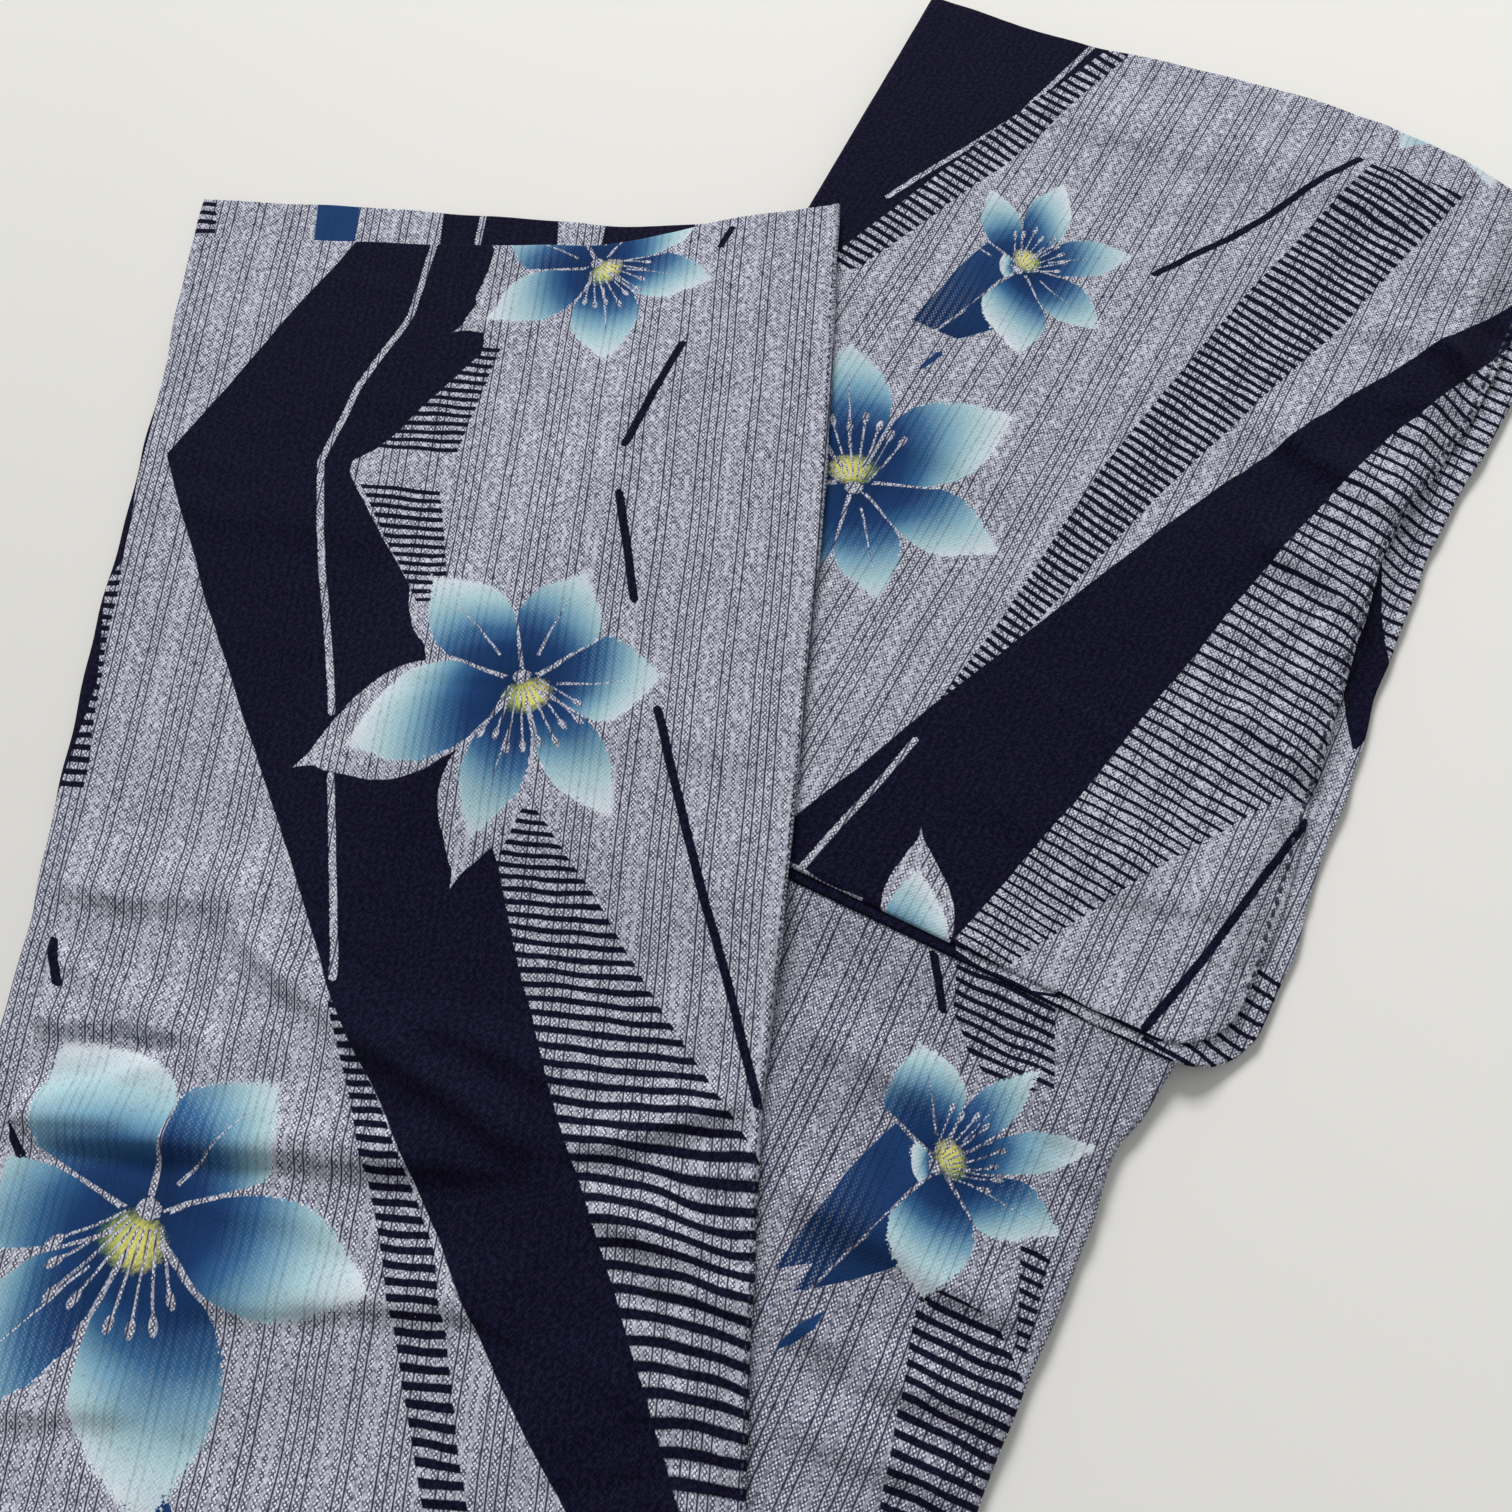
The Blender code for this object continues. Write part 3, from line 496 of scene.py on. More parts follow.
def drift(along, across, seed, size):
    """A slow unevenness, from -1 to 1, of about the given size."""
    turn = 2.0 * math.pi / size
    return (0.5 * np.sin(turn * (0.83 * along + 0.31 * across) + seed)
            * np.sin(turn * (0.27 * along - 0.9 * across) + 2.1 * seed)
            + 0.32 * np.sin(turn * (1.71 * along - 1.13 * across) + 3.7 * seed)
            * np.sin(turn * (0.91 * along + 1.67 * across) + 1.3 * seed)
            + 0.18 * np.sin(turn * (3.1 * along + 2.3 * across) + 0.9 * seed))


def edge_puckers(along, inset, run, height, pitch):
    """Small puckers that a line of sewing draws up beside an edge."""
    near = smooth(1.0 - inset / run)
    wave = (np.sin(2.0 * math.pi * along / pitch + 0.6 * np.sin(along * 90.0))
            * np.sin(2.0 * math.pi * along / (2.76 * pitch) + 0.8))
    return height * near * (0.5 + 0.5 * wave)


def grade(radius, reach):
    """Insets and drops of the first rows of cloth at an edge that turns down."""
    if radius == 0.0:
        return np.zeros(1), np.zeros(1)
    shares = np.array([0.0, 0.034, 0.134, 0.293, 0.5, 0.741, 1.0])
    insets = list(radius * shares)
    drops = list(radius * (1.0 - np.sqrt(1.0 - (1.0 - shares) ** 2)))
    if reach > radius:
        insets.insert(0, 0.0)
        drops.insert(0, reach)
    return np.array(insets), np.array(drops)


# How one sheet of cloth is laid. The edges are functions: left and right of the distance along,
# start and end of the distance across. Each side of the sheet turns down on its own radius, and
# reaches that far below its level. Facing is 1 for a sheet seen from above and -1 from below. A
# sheet with a turn depth goes on round the turn, and pull shifts the print on it.
Lay = namedtuple("Lay", "half left right start end level sides spacing facing turn_depth pull")
Lay.__new__.__defaults__ = (1, None, None)
Sides = namedtuple("Sides", "left right start end")
PLAIN = (0.0011, 0.0)
TURNED = (0.0, 0.0)
INNER = (0.0009, 0.0)
SELVEDGE = (0.0012, 0.0)
HEMMED = (0.0013, 0.0)
ROLLED = (0.0034, 0.0036)


def spread_rows(low_edge, high_edge, count):
    """Positions across one direction of a sheet: (low inset, high inset, share between) rows."""
    low, low_drop = grade(*low_edge)
    high, high_drop = grade(*high_edge)
    between = np.linspace(0.0, 1.0, count + 1)[1:-1]
    inset_low = np.concatenate([low, np.full(len(between), low[-1]), np.full(len(high), low[-1])])
    inset_high = np.concatenate([np.full(len(low) + len(between), high[-1]), high[::-1]])
    share = np.concatenate([np.zeros(len(low)), between, np.ones(len(high))])
    drop = np.concatenate([low_drop, np.zeros(len(between)), high_drop[::-1]])
    return inset_low, inset_high, share, drop


def place_between(low, high, rows):
    """Positions between two edges, with the rows at the edges kept at their own insets."""
    inset_low, inset_high, share, _ = rows
    return (low + inset_low) * (1.0 - share) + (high - inset_high) * share


def lay_cloth(lay):
    """Points of a sheet's outer face as a grid, and the cloth's own measures at each point."""
    middle = np.array([0.5 * (lay.left(np.array([0.0]))[0] + lay.right(np.array([0.0]))[0])])
    begin, finish = lay.start(middle)[0], lay.end(middle)[0]
    width = abs(lay.right(np.array([begin]))[0] - lay.left(np.array([begin]))[0])
    columns = spread_rows(lay.sides.left, lay.sides.right, max(4, round(width / lay.spacing)))
    rows = spread_rows(lay.sides.start, lay.sides.end, max(4, round((finish - begin) / lay.spacing)))
    nominal = place_between(begin, finish, rows)
    left, right = lay.left(nominal), lay.right(nominal)
    across = place_between(left[:, None], right[:, None], [part[None, :] for part in columns])
    along = place_between(lay.start(across), lay.end(across), [part[:, None] for part in rows])
    # the corner of two turned edges is round as well
    drop = np.maximum(columns[3][None, :], rows[3][:, None])
    x, y = lay.half.plan(along, across)
    z = lay.level(x, y, along, across) - lay.facing * drop
    points = np.stack([x, y, z], axis=-1)
    if lay.turn_depth is not None:
        points, along, across = add_turn(lay, points, along, across, columns)
    if lay.pull is not None:
        along = along + lay.pull(along, across)
    return points - np.array([OFFSET_X, OFFSET_Y, 0.0]), along, across


def add_turn(lay, points, along, across, columns):
    """Carry a skirt sheet on round the turn, down to where the shoulder half begins."""
    line = points[0, -1] - points[0, 0]
    line[2] = 0.0
    line /= np.linalg.norm(line)
    outward = np.array([line[1], -line[0], 0.0])
    upward = np.array([0.0, 0.0, 1.0])
    radius = TURN_RADIUS - lay.turn_depth - columns[3]
    centre = points[0].copy()
    centre[:, 2] = TURN_RADIUS
    rows = []
    for step in range(TURN_STEPS, 0, -1):
        swing = math.pi * step / TURN_STEPS
        normal = outward * math.sin(swing) + upward * math.cos(swing)
        sway = 0.0006 * np.sin(31.0 * across[0] + 2000.0 * lay.turn_depth)
        bulge = outward * (TURN_BULGE + sway[:, None]) * math.sin(swing)
        rows.append(centre + bulge + normal * radius[:, None])
    travelled = math.pi * (TURN_RADIUS - lay.turn_depth) + TURN_BULGE
    shares = np.arange(TURN_STEPS, 0, -1)[:, None] / TURN_STEPS
    points = np.concatenate([np.array(rows), points])
    along = np.concatenate([along[0][None, :] - shares * travelled, along])
    across = np.concatenate([np.repeat(across[:1], TURN_STEPS, axis=0), across])
    return points, along, across


def wander(along, across):
    """The cloth's own measures at each point. The weave is never quite square, so they wander."""
    aside = 0.001 * drift(along, across, 5.3, 0.3) + 0.00014 * drift(along, across, 2.9, 0.06)
    ahead = (0.0012 * drift(along, across, 6.1, 0.16) + 0.0009 * drift(along, across, 3.4, 0.07)
             + 0.00038 * drift(along, across, 1.9, 0.022))
    return across + aside, along + ahead


def skirt_pull(along, across):
    """How far ahead the skirt's right margin is pulled, past the long fold that runs down beside it."""
    beside = across - (-0.0505 + 0.5 * (0.034 - along))
    held = smooth((along + 0.135) / 0.06) * smooth((0.062 - along) / 0.036)
    return held * (0.0075 * smooth(beside / 0.034) - 0.0016 * np.exp(-((beside + 0.016) / 0.012) ** 2))


def lay_sheets(name, material, *lays, thickness=SHEET):
    """One mesh object from sheets of cloth, with the cloth's measures as its UV map."""
    points, faces, measures = [], [], []
    count = 0
    for lay in lays:
        grid, along, across = lay_cloth(lay)
        height, width = along.shape
        index = np.arange(height * width).reshape(height, width) + count
        corners = [index[:-1, :-1], index[:-1, 1:], index[1:, 1:], index[1:, :-1]]
        quads = np.stack([corner.ravel() for corner in corners], axis=-1)
        faces.append(quads[:, ::lay.facing])
        points.append(grid.reshape(-1, 3))
        measures.append(np.stack([part.ravel() for part in wander(along, across)], axis=-1))
        count += height * width
    points, faces, measures = (np.concatenate(part) for part in (points, faces, measures))
    mesh = bpy.data.meshes.new(name)
    mesh.from_pydata(points.tolist(), [], faces.tolist())
    uv = mesh.uv_layers.new(name="cloth")
    uv.data.foreach_set("uv", measures[faces.ravel()].astype(np.float32).ravel())
    mesh.materials.append(material)
    mesh.shade_smooth()
    piece = bpy.data.objects.new(name, mesh)
    bpy.context.collection.objects.link(piece)
    bpy.ops.object.select_all(action="DESELECT")
    bpy.context.view_layer.objects.active = piece
    piece.select_set(True)
    wall = piece.modifiers.new("cloth thickness", "SOLIDIFY")
    wall.thickness = thickness
    wall.offset = -1.0
    bpy.ops.object.modifier_apply(modifier=wall.name)
    piece.select_set(False)
    return piece


def finish_sheet(piece, nodes):
    """Hang a sheet of cloth on the root and hide the solids it stands for."""
    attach(piece, "root")
    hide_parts(*nodes)


# The print

class Field:
    """A number at each point of the cloth. Arithmetic on it adds Math nodes to its tree."""

    def __init__(self, socket):
        self.socket = socket
        self.tree = socket.id_data

    def math(self, operation, *others, clamp=False):
        """Add one Math node with this field as its first input."""
        node = self.tree.nodes.new("ShaderNodeMath")
        node.operation = operation
        node.use_clamp = clamp
        for slot, value in enumerate((self, *others)):
            plug(value, node.inputs[slot])
        return Field(node.outputs[0])

    __add__ = partialmethod(math, "ADD")
    __sub__ = partialmethod(math, "SUBTRACT")
    __mul__ = partialmethod(math, "MULTIPLY")
    __truediv__ = partialmethod(math, "DIVIDE")
    __neg__ = partialmethod(math, "MULTIPLY", -1.0)
    __abs__ = partialmethod(math, "ABSOLUTE")
    less = partialmethod(math, "MINIMUM")
    more = partialmethod(math, "MAXIMUM")
    above = partialmethod(math, "GREATER_THAN")
    sine = partialmethod(math, "SINE")
    cosine = partialmethod(math, "COSINE")
    root = partialmethod(math, "SQRT")
    rounded = partialmethod(math, "ROUND")
    fraction = partialmethod(math, "FRACT")
    heading = partialmethod(math, "ARCTAN2")
    held = partialmethod(math, "ADD", 0.0, clamp=True)

    def scaled(self, factor, shift=0.0, clamp=False):
        """The field times a factor, plus a shift."""
        return self.math("MULTIPLY_ADD", factor, shift, clamp=clamp)

    def __rsub__(self, other):
        return self.scaled(-1.0, other)

    def clamped(self, low, high):
        """The field, brought from low..high to 0..1 and held there."""
        return self.scaled(1.0 / (high - low), -low / (high - low), clamp=True)

    def curve(self, points, straight=True):
        """Read a line through (place, value) points at this field."""
        places = [place for place, _ in points]
        values = [value for _, value in points]
        start, end, low, high = places[0], places[-1], min(values), max(values)
        high = high if high > low else low + 1.0
        node = self.tree.nodes.new("ShaderNodeFloatCurve")
        line = node.mapping.curves[0]
        spots = [((place - start) / (end - start), (value - low) / (high - low))
                 for place, value in points]
        line.points[0].location = spots[0]
        line.points[-1].location = spots[-1]
        for spot in spots[1:-1]:
            line.points.new(*spot)
        for point in line.points:
            point.handle_type = "VECTOR" if straight else "AUTO"
        node.mapping.update()
        plug(self.scaled(1.0 / (end - start), -start / (end - start)), node.inputs["Value"])
        return Field(node.outputs["Value"]).scaled(high - low, low)


def plug(value, slot):
    """Link a field or a socket to an input, or set the input to a number or colour."""
    value = getattr(value, "socket", value)
    if isinstance(value, bpy.types.NodeSocket):
        slot.id_data.links.new(value, slot)
    else:
        slot.default_value = value


def combine(x, y):
    """A vector from two fields."""
    node = x.tree.nodes.new("ShaderNodeCombineXYZ")
    plug(x, node.inputs[0])
    plug(y, node.inputs[1])
    return node.outputs[0]


def cloth_vector(across, along, factors):
    """A vector from the two, each times its factor, or times a row of factors for both."""
    if isinstance(factors[0], tuple):
        return combine(*(across.scaled(first, along.scaled(second)) for first, second in factors))
    return combine(across.scaled(factors[0]), along.scaled(factors[1]))


def split(vector):
    """The first two fields of a vector."""
    node = vector.id_data.nodes.new("ShaderNodeSeparateXYZ")
    plug(vector, node.inputs[0])
    return Field(node.outputs[0]), Field(node.outputs[1])


def noise(vector, scale=1.0, detail=0.0, roughness=0.5):
    """A noise field from 0 to 1 about 0.5."""
    node = vector.id_data.nodes.new("ShaderNodeTexNoise")
    node.noise_dimensions = "2D"
    plug(vector, node.inputs["Vector"])
    node.inputs["Scale"].default_value = scale
    node.inputs["Detail"].default_value = detail
    node.inputs["Roughness"].default_value = roughness
    return Field(node.outputs["Fac"])


def mix(factor, first, second):
    """A colour between two colours."""
    node = factor.tree.nodes.new("ShaderNodeMix")
    node.data_type = "RGBA"
    for slot, value in ((0, factor), (6, first), (7, second)):
        plug(value, node.inputs[slot])
    return node.outputs[2]


def ramp(field, stops):
    """A colour read off a row of (place, colour) stops."""
    node = field.tree.nodes.new("ShaderNodeValToRGB")
    plug(field, node.inputs[0])
    bar = node.color_ramp
    bar.elements[0].position, bar.elements[0].color = stops[0]
    bar.elements[1].position, bar.elements[1].color = stops[-1]
    for place, colour in stops[1:-1]:
        bar.elements.new(place).color = colour
    return node.outputs[0]


def new_paint(name):
    """A new material, its node tree and its shader."""
    material = bpy.data.materials.new(name)
    material.use_nodes = True
    return material, material.node_tree, material.node_tree.nodes["Principled BSDF"]


def rgb(red, green, blue):
    """A dye given as 8-bit screen values, as a linear colour."""
    return tuple(((value / 255.0 + 0.055) / 1.055) ** 2.4 if value > 10 else value / 255.0 / 12.92
                 for value in (red, green, blue)) + (1.0,)


GROUND_DARK = rgb(84, 85, 106)
GROUND_LIGHT = rgb(210, 212, 226)
KNOT = rgb(246, 247, 250)
WARP_LINE = rgb(24, 24, 56)
NAVY = rgb(9, 8, 27)
NAVY_LIGHT = rgb(31, 28, 54)
PETALS = (
    (0.0, rgb(22, 48, 88)),
    (0.26, rgb(28, 62, 110)),
    (0.42, rgb(54, 102, 146)),
    (0.56, rgb(114, 160, 184)),
    (0.72, rgb(166, 200, 208)),
    (1.0, rgb(220, 228, 234)),
)
TUBE_BLUE = rgb(30, 62, 108)
POLLEN_YELLOW = rgb(226, 220, 120)
POLLEN_GREEN = rgb(96, 136, 78)
INK_EDGE = 0.0004              # how far the dye bleeds at an edge
RIB = 0.0038                   # width of one rib of the weave
KNOT_PITCH = 0.0021            # between one knot of a rib and the next
SIXTH = math.pi / 3.0
FAN_STEP = math.radians(10.5)  # between one stamen and the next
BELL_LEAN = math.radians(42.0)  # from a bell's tube to the gap between its petals
# a flower's parts, in shares of its size or of a petal's length
CENTRE = 0.2                   # where its petals are one disc
HALO_CENTRE = 0.42
HALO_LENGTH = 1.3
FOLDED_BACK = 0.76             # hidden share of a bell's folded petal
STAMEN_ROOT = 0.13
STAMEN_HALF_WIDTH = 0.0062
STAMEN_HEAD = 0.0185
HEAD_STRETCH = 2.1
STAMENS_A_SIDE = 4.5
# noise across and along the cloth, as bumps a metre; the first two are turned out of its directions
FINE_GRAIN = ((508.0, -356.0), (270.0, 385.0))
COARSE_GRAIN = ((312.0, 180.0), (-150.0, 260.0))
THREADS = (2300.0, 200.0)
CLOUDS = (50.0, 28.0)
SWELLS = (110.0, 60.0)
# half widths at shares of a petal's or a tube's length, in shares of the flower's size
PETAL_OUTLINE = ((0.0, 0.06), (0.14, 0.115), (0.3, 0.185), (0.44, 0.232), (0.58, 0.245),
                 (0.72, 0.2), (0.84, 0.118), (0.94, 0.044), (1.0, -0.006), (1.3, -0.08))
TUBE_OUTLINE = ((0.0, 0.42), (0.35, 0.42), (0.7, 0.34), (1.02, 0.25), (1.3, 0.19), (1.6, 0.15))

# Motifs of the print, in the measures of the half they are on; along the sleeve's bottom edge a few regions
# are painted shade and a painted highlight instead.
# A region lies between two lines of (along, across) points, from low to high. A course is a row of (along,
# across, half width) points.
Region = namedtuple("Region", "left right")
Hatch = namedtuple("Hatch", "regions pitch duty tilt grow")
Hatch.__new__.__defaults__ = (0.0, 0.0)
# The last field of a layout darkens its whole ground: painted shade.
Layout = namedtuple("Layout", "bands hatches strokes lines flowers leaves grain haloes shade")
Layout.__new__.__defaults__ = ((), (), (), (), (), 0.0, False, 0.0)
# A flower's own values. The headings of its first and longest petal, stamens and tube are in degrees.
Flower = namedtuple("Flower", "until along across first size longer longest stamens tube seed")
HEADINGS = ("first", "longest", "stamens", "tube")


def nearest_of(gaps):
    """The smallest of several distances, or None where there are none."""
    total = None
    for gap in gaps:
        total = gap if total is None else total.less(gap)
    return total


def region_gap(along, across, region):
    """Signed distance to a region, negative inside. Past its ends its two lines are crossed."""
    sides = []
    for points, cross in ((region.left, 1.0), (region.right, -1.0)):
        low = 0.5 * (region.left[0][1] + region.right[0][1]) + cross * 0.003
        high = 0.5 * (region.left[-1][1] + region.right[-1][1]) + cross * 0.003
        sides.append(((points[0][0] - 0.0006, low), *points, (points[-1][0] + 0.0006, high)))
    left, right = sides
    return (along.curve(left) - across).more(across - along.curve(right))


def course_gap(along, across, course):
    """Signed distance to a row of strokes, measured across the cloth."""
    middle = along.curve([(point[0], point[1]) for point in course])
    half_width = along.curve([(point[0], point[2]) for point in course])
    return abs(across - middle) - half_width


def course(*strokes, half_width):
    """The points of a row of straight strokes, from low to high, each with round ends."""
    points = []
    for stroke in strokes:
        (along_a, across_a), (along_b, across_b) = stroke[0], stroke[-1]
        points += [(along_a - 0.0004, across_a, -0.001), (along_a + 0.001, across_a, half_width)]
        points += [(along, across, half_width) for along, across in stroke[1:-1]]
        points += [(along_b - 0.001, across_b, half_width), (along_b + 0.0004, across_b, -0.001)]
    return points


def stripe_gap(along, across, hatch):
    """Signed distance to bars across the cloth, evenly spaced or further and further apart."""
    top = max(region.left[-1][0] for region in hatch.regions)
    down = across.scaled(-hatch.tilt, top) - along
    if hatch.grow:
        stretched = down.scaled(hatch.grow / hatch.pitch, 1.0).more(0.01)
        phase = stretched.math("LOGARITHM", math.e) / hatch.grow
    else:
        phase = down / hatch.pitch
    return abs(phase.fraction() - 0.5).scaled(hatch.pitch, -0.5 * hatch.duty * hatch.pitch)


def ink(distance):
    """1 inside a printed shape, 0 outside, with the dye's own soft edge."""
    return distance.scaled(-1.0 / INK_EDGE, 0.5, clamp=True)


class Picker:
    """The flowers' own values, each read from the distance along at which the next takes over."""

    def __init__(self, along, flowers):
        self.tree = along.tree
        self.flowers = flowers
        self.over = [along.above(flower.until) for flower in flowers[:-1]]

    def read(self, column):
        """One of the values, as a field."""
        values = [getattr(flower, column) for flower in self.flowers]
        if column in HEADINGS:
            values = [math.radians(value) for value in values]
        node = self.tree.nodes.new("ShaderNodeValue")
        node.outputs[0].default_value = values[0]
        total = Field(node.outputs[0])
        for over, value, following in zip(self.over, values, values[1:]):
            if abs(following - value) > 1e-9:
                total = over.scaled(following - value, total)
        return total


def draw_flower(along, across, flowers, grainy):
    """The nearest flower: its distances, its colour, and the light marks left in its dye."""
    pick = Picker(along, flowers)
    beside, ahead = across - pick.read("across"), along - pick.read("along")
    size, seed, first = pick.read("size"), pick.read("seed"), pick.read("first")
    distance = (beside * beside + ahead * ahead).root()
    heading = beside.heading(ahead)
    swayed = (heading + seed).scaled(2.0).sine().scaled(0.09, heading)
    heading = (heading + seed).sine().scaled(0.14, swayed)
    tubular = any(flower.tube for flower in flowers)
    if tubular:
        # a bell's petals crowd to the side away from its tube
        tube_heading = pick.read("tube")
        has_tube = tube_heading.above(0.01)
        heading = (heading - tube_heading - BELL_LEAN).sine() * has_tube.scaled(-0.3) + heading

    # six petals, each with its own length, bend and tone
    turns = (heading - first) / SIXTH
    nearest = turns.rounded()
    swing = (turns - nearest) * SIXTH
    petal = nearest.math("FLOORED_MODULO", 6.0)
    petal_heading = nearest.scaled(SIXTH, first)
    vary = petal.scaled(2.4, seed).sine()
    vary_more = petal.scaled(4.4, seed).sine()
    lean = (petal_heading - pick.read("longest")).cosine()
    length = size * (lean * pick.read("longer") + vary.scaled(0.07, 0.98))
    if tubular:
        folded_back = (petal_heading - tube_heading - BELL_LEAN).cosine().above(0.86) * has_tube
        length = length * folded_back.scaled(-FOLDED_BACK, 1.0)
    out = distance * swing.cosine() / length
    slant = out * out * vary_more.scaled(0.07) + distance * swing.sine() / size
    aside = abs(slant)
    frayed = grainy.scaled(0.18, -0.09) * out.clamped(0.35, 1.0)
    half_width = out.curve(PETAL_OUTLINE, straight=False) * vary_more.scaled(0.1, 1.0)
    petal_gap = ((aside - half_width) + frayed).less(distance / size - CENTRE) * size
    grown = (out / 1.2).curve(PETAL_OUTLINE, straight=False).scaled(1.12, 0.035)
    halo_gap = (aside - grown).more(out - HALO_LENGTH).less(distance / size - HALO_CENTRE) * size

    tone = aside * aside.scaled(1.5) + out + vary.scaled(0.06) + slant * vary_more.scaled(0.25, 0.45)
    colour = ramp((tone + grainy.scaled(0.12, -0.06)).clamped(0.1, 1.0), PETALS)
    covered = petal_gap
    if tubular:
        # a bell's tube, seen from the side
        tube_sine, tube_cosine = tube_heading.sine(), tube_heading.cosine()
        down_tube = (beside * tube_sine + ahead * tube_cosine) / size
        off_tube = (beside * tube_cosine - ahead * tube_sine) / size - down_tube * down_tube.scaled(0.12)
        tube_width = down_tube.curve(TUBE_OUTLINE, straight=False)
        torn_end = down_tube - (abs(abs(off_tube) - 0.1)).scaled(-2.4, 1.36)
        tube_gap = (abs(off_tube) - tube_width).more(-down_tube).more(torn_end) * size + (1.0 - has_tube)
        tube_colour = mix(down_tube.clamped(0.2, 1.1), TUBE_BLUE, PETALS[0][1])
        in_tube = ink(tube_gap) * ink(0.0006 - petal_gap)
        colour = mix(in_tube, colour, tube_colour)
        out = in_tube.scaled(-0.85, 1.0) * out
        covered = covered.less(tube_gap)

    # the lines between petals and some of their veins are left undyed
    between = (0.5 * SIXTH - abs(swing)).sine() * distance / size - out.clamped(0.62, 0.14).scaled(0.0135)
    between = between.more(abs(out - 0.33) - 0.23)
    vein = aside - out.clamped(0.8, 0.2).scaled(0.01)
    vein = vein.more(abs(out - 0.5) - 0.26) + vary.above(0.15)
    # stamens fan out to one side, each with a drop at its end
    fan_heading = pick.read("stamens")
    fan_sine, fan_cosine = fan_heading.sine(), fan_heading.cosine()
    down_fan = (beside * fan_sine + ahead * fan_cosine) / size
    off_fan = (beside * fan_cosine - ahead * fan_sine) / size
    off_square = off_fan * off_fan
    from_root = down_fan + 0.1
    reach = (from_root * from_root + off_square).root()
    fan = off_fan.heading(from_root)
    stamen = (fan / FAN_STEP).rounded()
    sideways = (fan - stamen * FAN_STEP).sine() * reach
    tip = stamen.scaled(2.6, seed).sine().scaled(0.035, (stamen * stamen).scaled(-0.005, 0.52))
    thread = (abs(sideways) - STAMEN_HALF_WIDTH).more(reach - tip).more(STAMEN_ROOT - reach)
    head_run = (reach - tip) / HEAD_STRETCH
    head = (head_run * head_run + sideways * sideways).root() - STAMEN_HEAD
    stamen_gap = thread.less(head).more(abs(stamen) - STAMENS_A_SIDE)
    hub_run = down_fan.scaled(1.25, 0.056)
    hub_gap = (hub_run * hub_run + off_square).root() - grainy.scaled(-0.03, 0.07)
    marks = vein.less(between).less(hub_gap).less(stamen_gap) * size
    spot = down_fan - 0.085
    pollen = (spot * spot).scaled(90.0, off_square.scaled(48.0, grainy.scaled(1.3, -0.65)))
    pollen_colour = mix((off_fan.scaled(4.0) + pollen.scaled(0.5)).clamped(-0.1, 1.0),
                        POLLEN_YELLOW, POLLEN_GREEN)
    return covered, halo_gap, marks, colour, out, pollen_colour, pollen


def print_cloth(name, layout):
    """The cotton: a ribbed mottled ground, and a layout of motifs dyed on it, with painted shade where a
    layout darkens its ground and a few painted lines of shade and highlight.
    """
    material, tree, shader = new_paint(name)
    source = tree.nodes.new("ShaderNodeUVMap")
    source.uv_map = "cloth"
    across, along = split(source.outputs[0])
    weave_across = along.scaled(layout.grain, across)
    grainy = noise(cloth_vector(weave_across, along, FINE_GRAIN), detail=2.0, roughness=0.8)
    ground, knots, line, relief = weave(weave_across, along, grainy, layout.shade)

    place = grainy.scaled(0.0008, across)
    bands = nearest_of(region_gap(along, place, band) for band in layout.bands)
    if layout.flowers:
        covered, halo_gap, marks, petal_colour, out, pollen_colour, pollen = draw_flower(
            along, place, layout.flowers, grainy)
        if layout.haloes and bands is not None:
            bands = bands.more(-halo_gap)
    for row in layout.lines:
        bands = bands.more(-course_gap(along, place, row))
    gaps = [] if bands is None else [bands]
    for hatch in layout.hatches:
        inside = nearest_of(region_gap(along, place, region) for region in hatch.regions)
        gaps.append(inside.more(stripe_gap(along, place, hatch)))
    gaps += [course_gap(along, place, row) for row in layout.strokes]
    colour = ground
    if gaps:
        worn = (grainy.scaled(3.0, -1.25) + knots.scaled(0.45)).held()
        navy = mix(worn, NAVY, NAVY_LIGHT)
        colour = mix(ink(nearest_of(gaps)), ground, navy)
    for row in layout.leaves:
        colour = mix(ink(course_gap(along, place, row)), colour, TUBE_BLUE)
    if layout.flowers:
        painted = mix(line.scaled(0.13, grainy.scaled(1.4, -0.7)), petal_colour, WARP_LINE)
        painted = mix(knots * out.clamped(0.3, 1.3).scaled(0.5), painted, KNOT)
        painted = mix(out.clamped(0.88, 1.6), painted, ground)
        painted = mix(pollen.scaled(-1.0, 1.25, clamp=True), painted, pollen_colour)
        painted = mix(ink(marks), painted, ground)
        colour = mix(ink(covered), colour, painted)

    plug(colour, shader.inputs["Base Color"])
    shader.inputs["Roughness"].default_value = 0.9
    shader.inputs["Specular IOR Level"].default_value = 0.06
    shader.inputs["Sheen Weight"].default_value = 0.012
    shader.inputs["Sheen Roughness"].default_value = 0.6
    bump = tree.nodes.new("ShaderNodeBump")
    bump.inputs["Strength"].default_value = 0.6
    bump.inputs["Distance"].default_value = 0.0005
    plug(relief, bump.inputs["Height"])
    plug(bump.outputs[0], shader.inputs["Normal"])
    return material


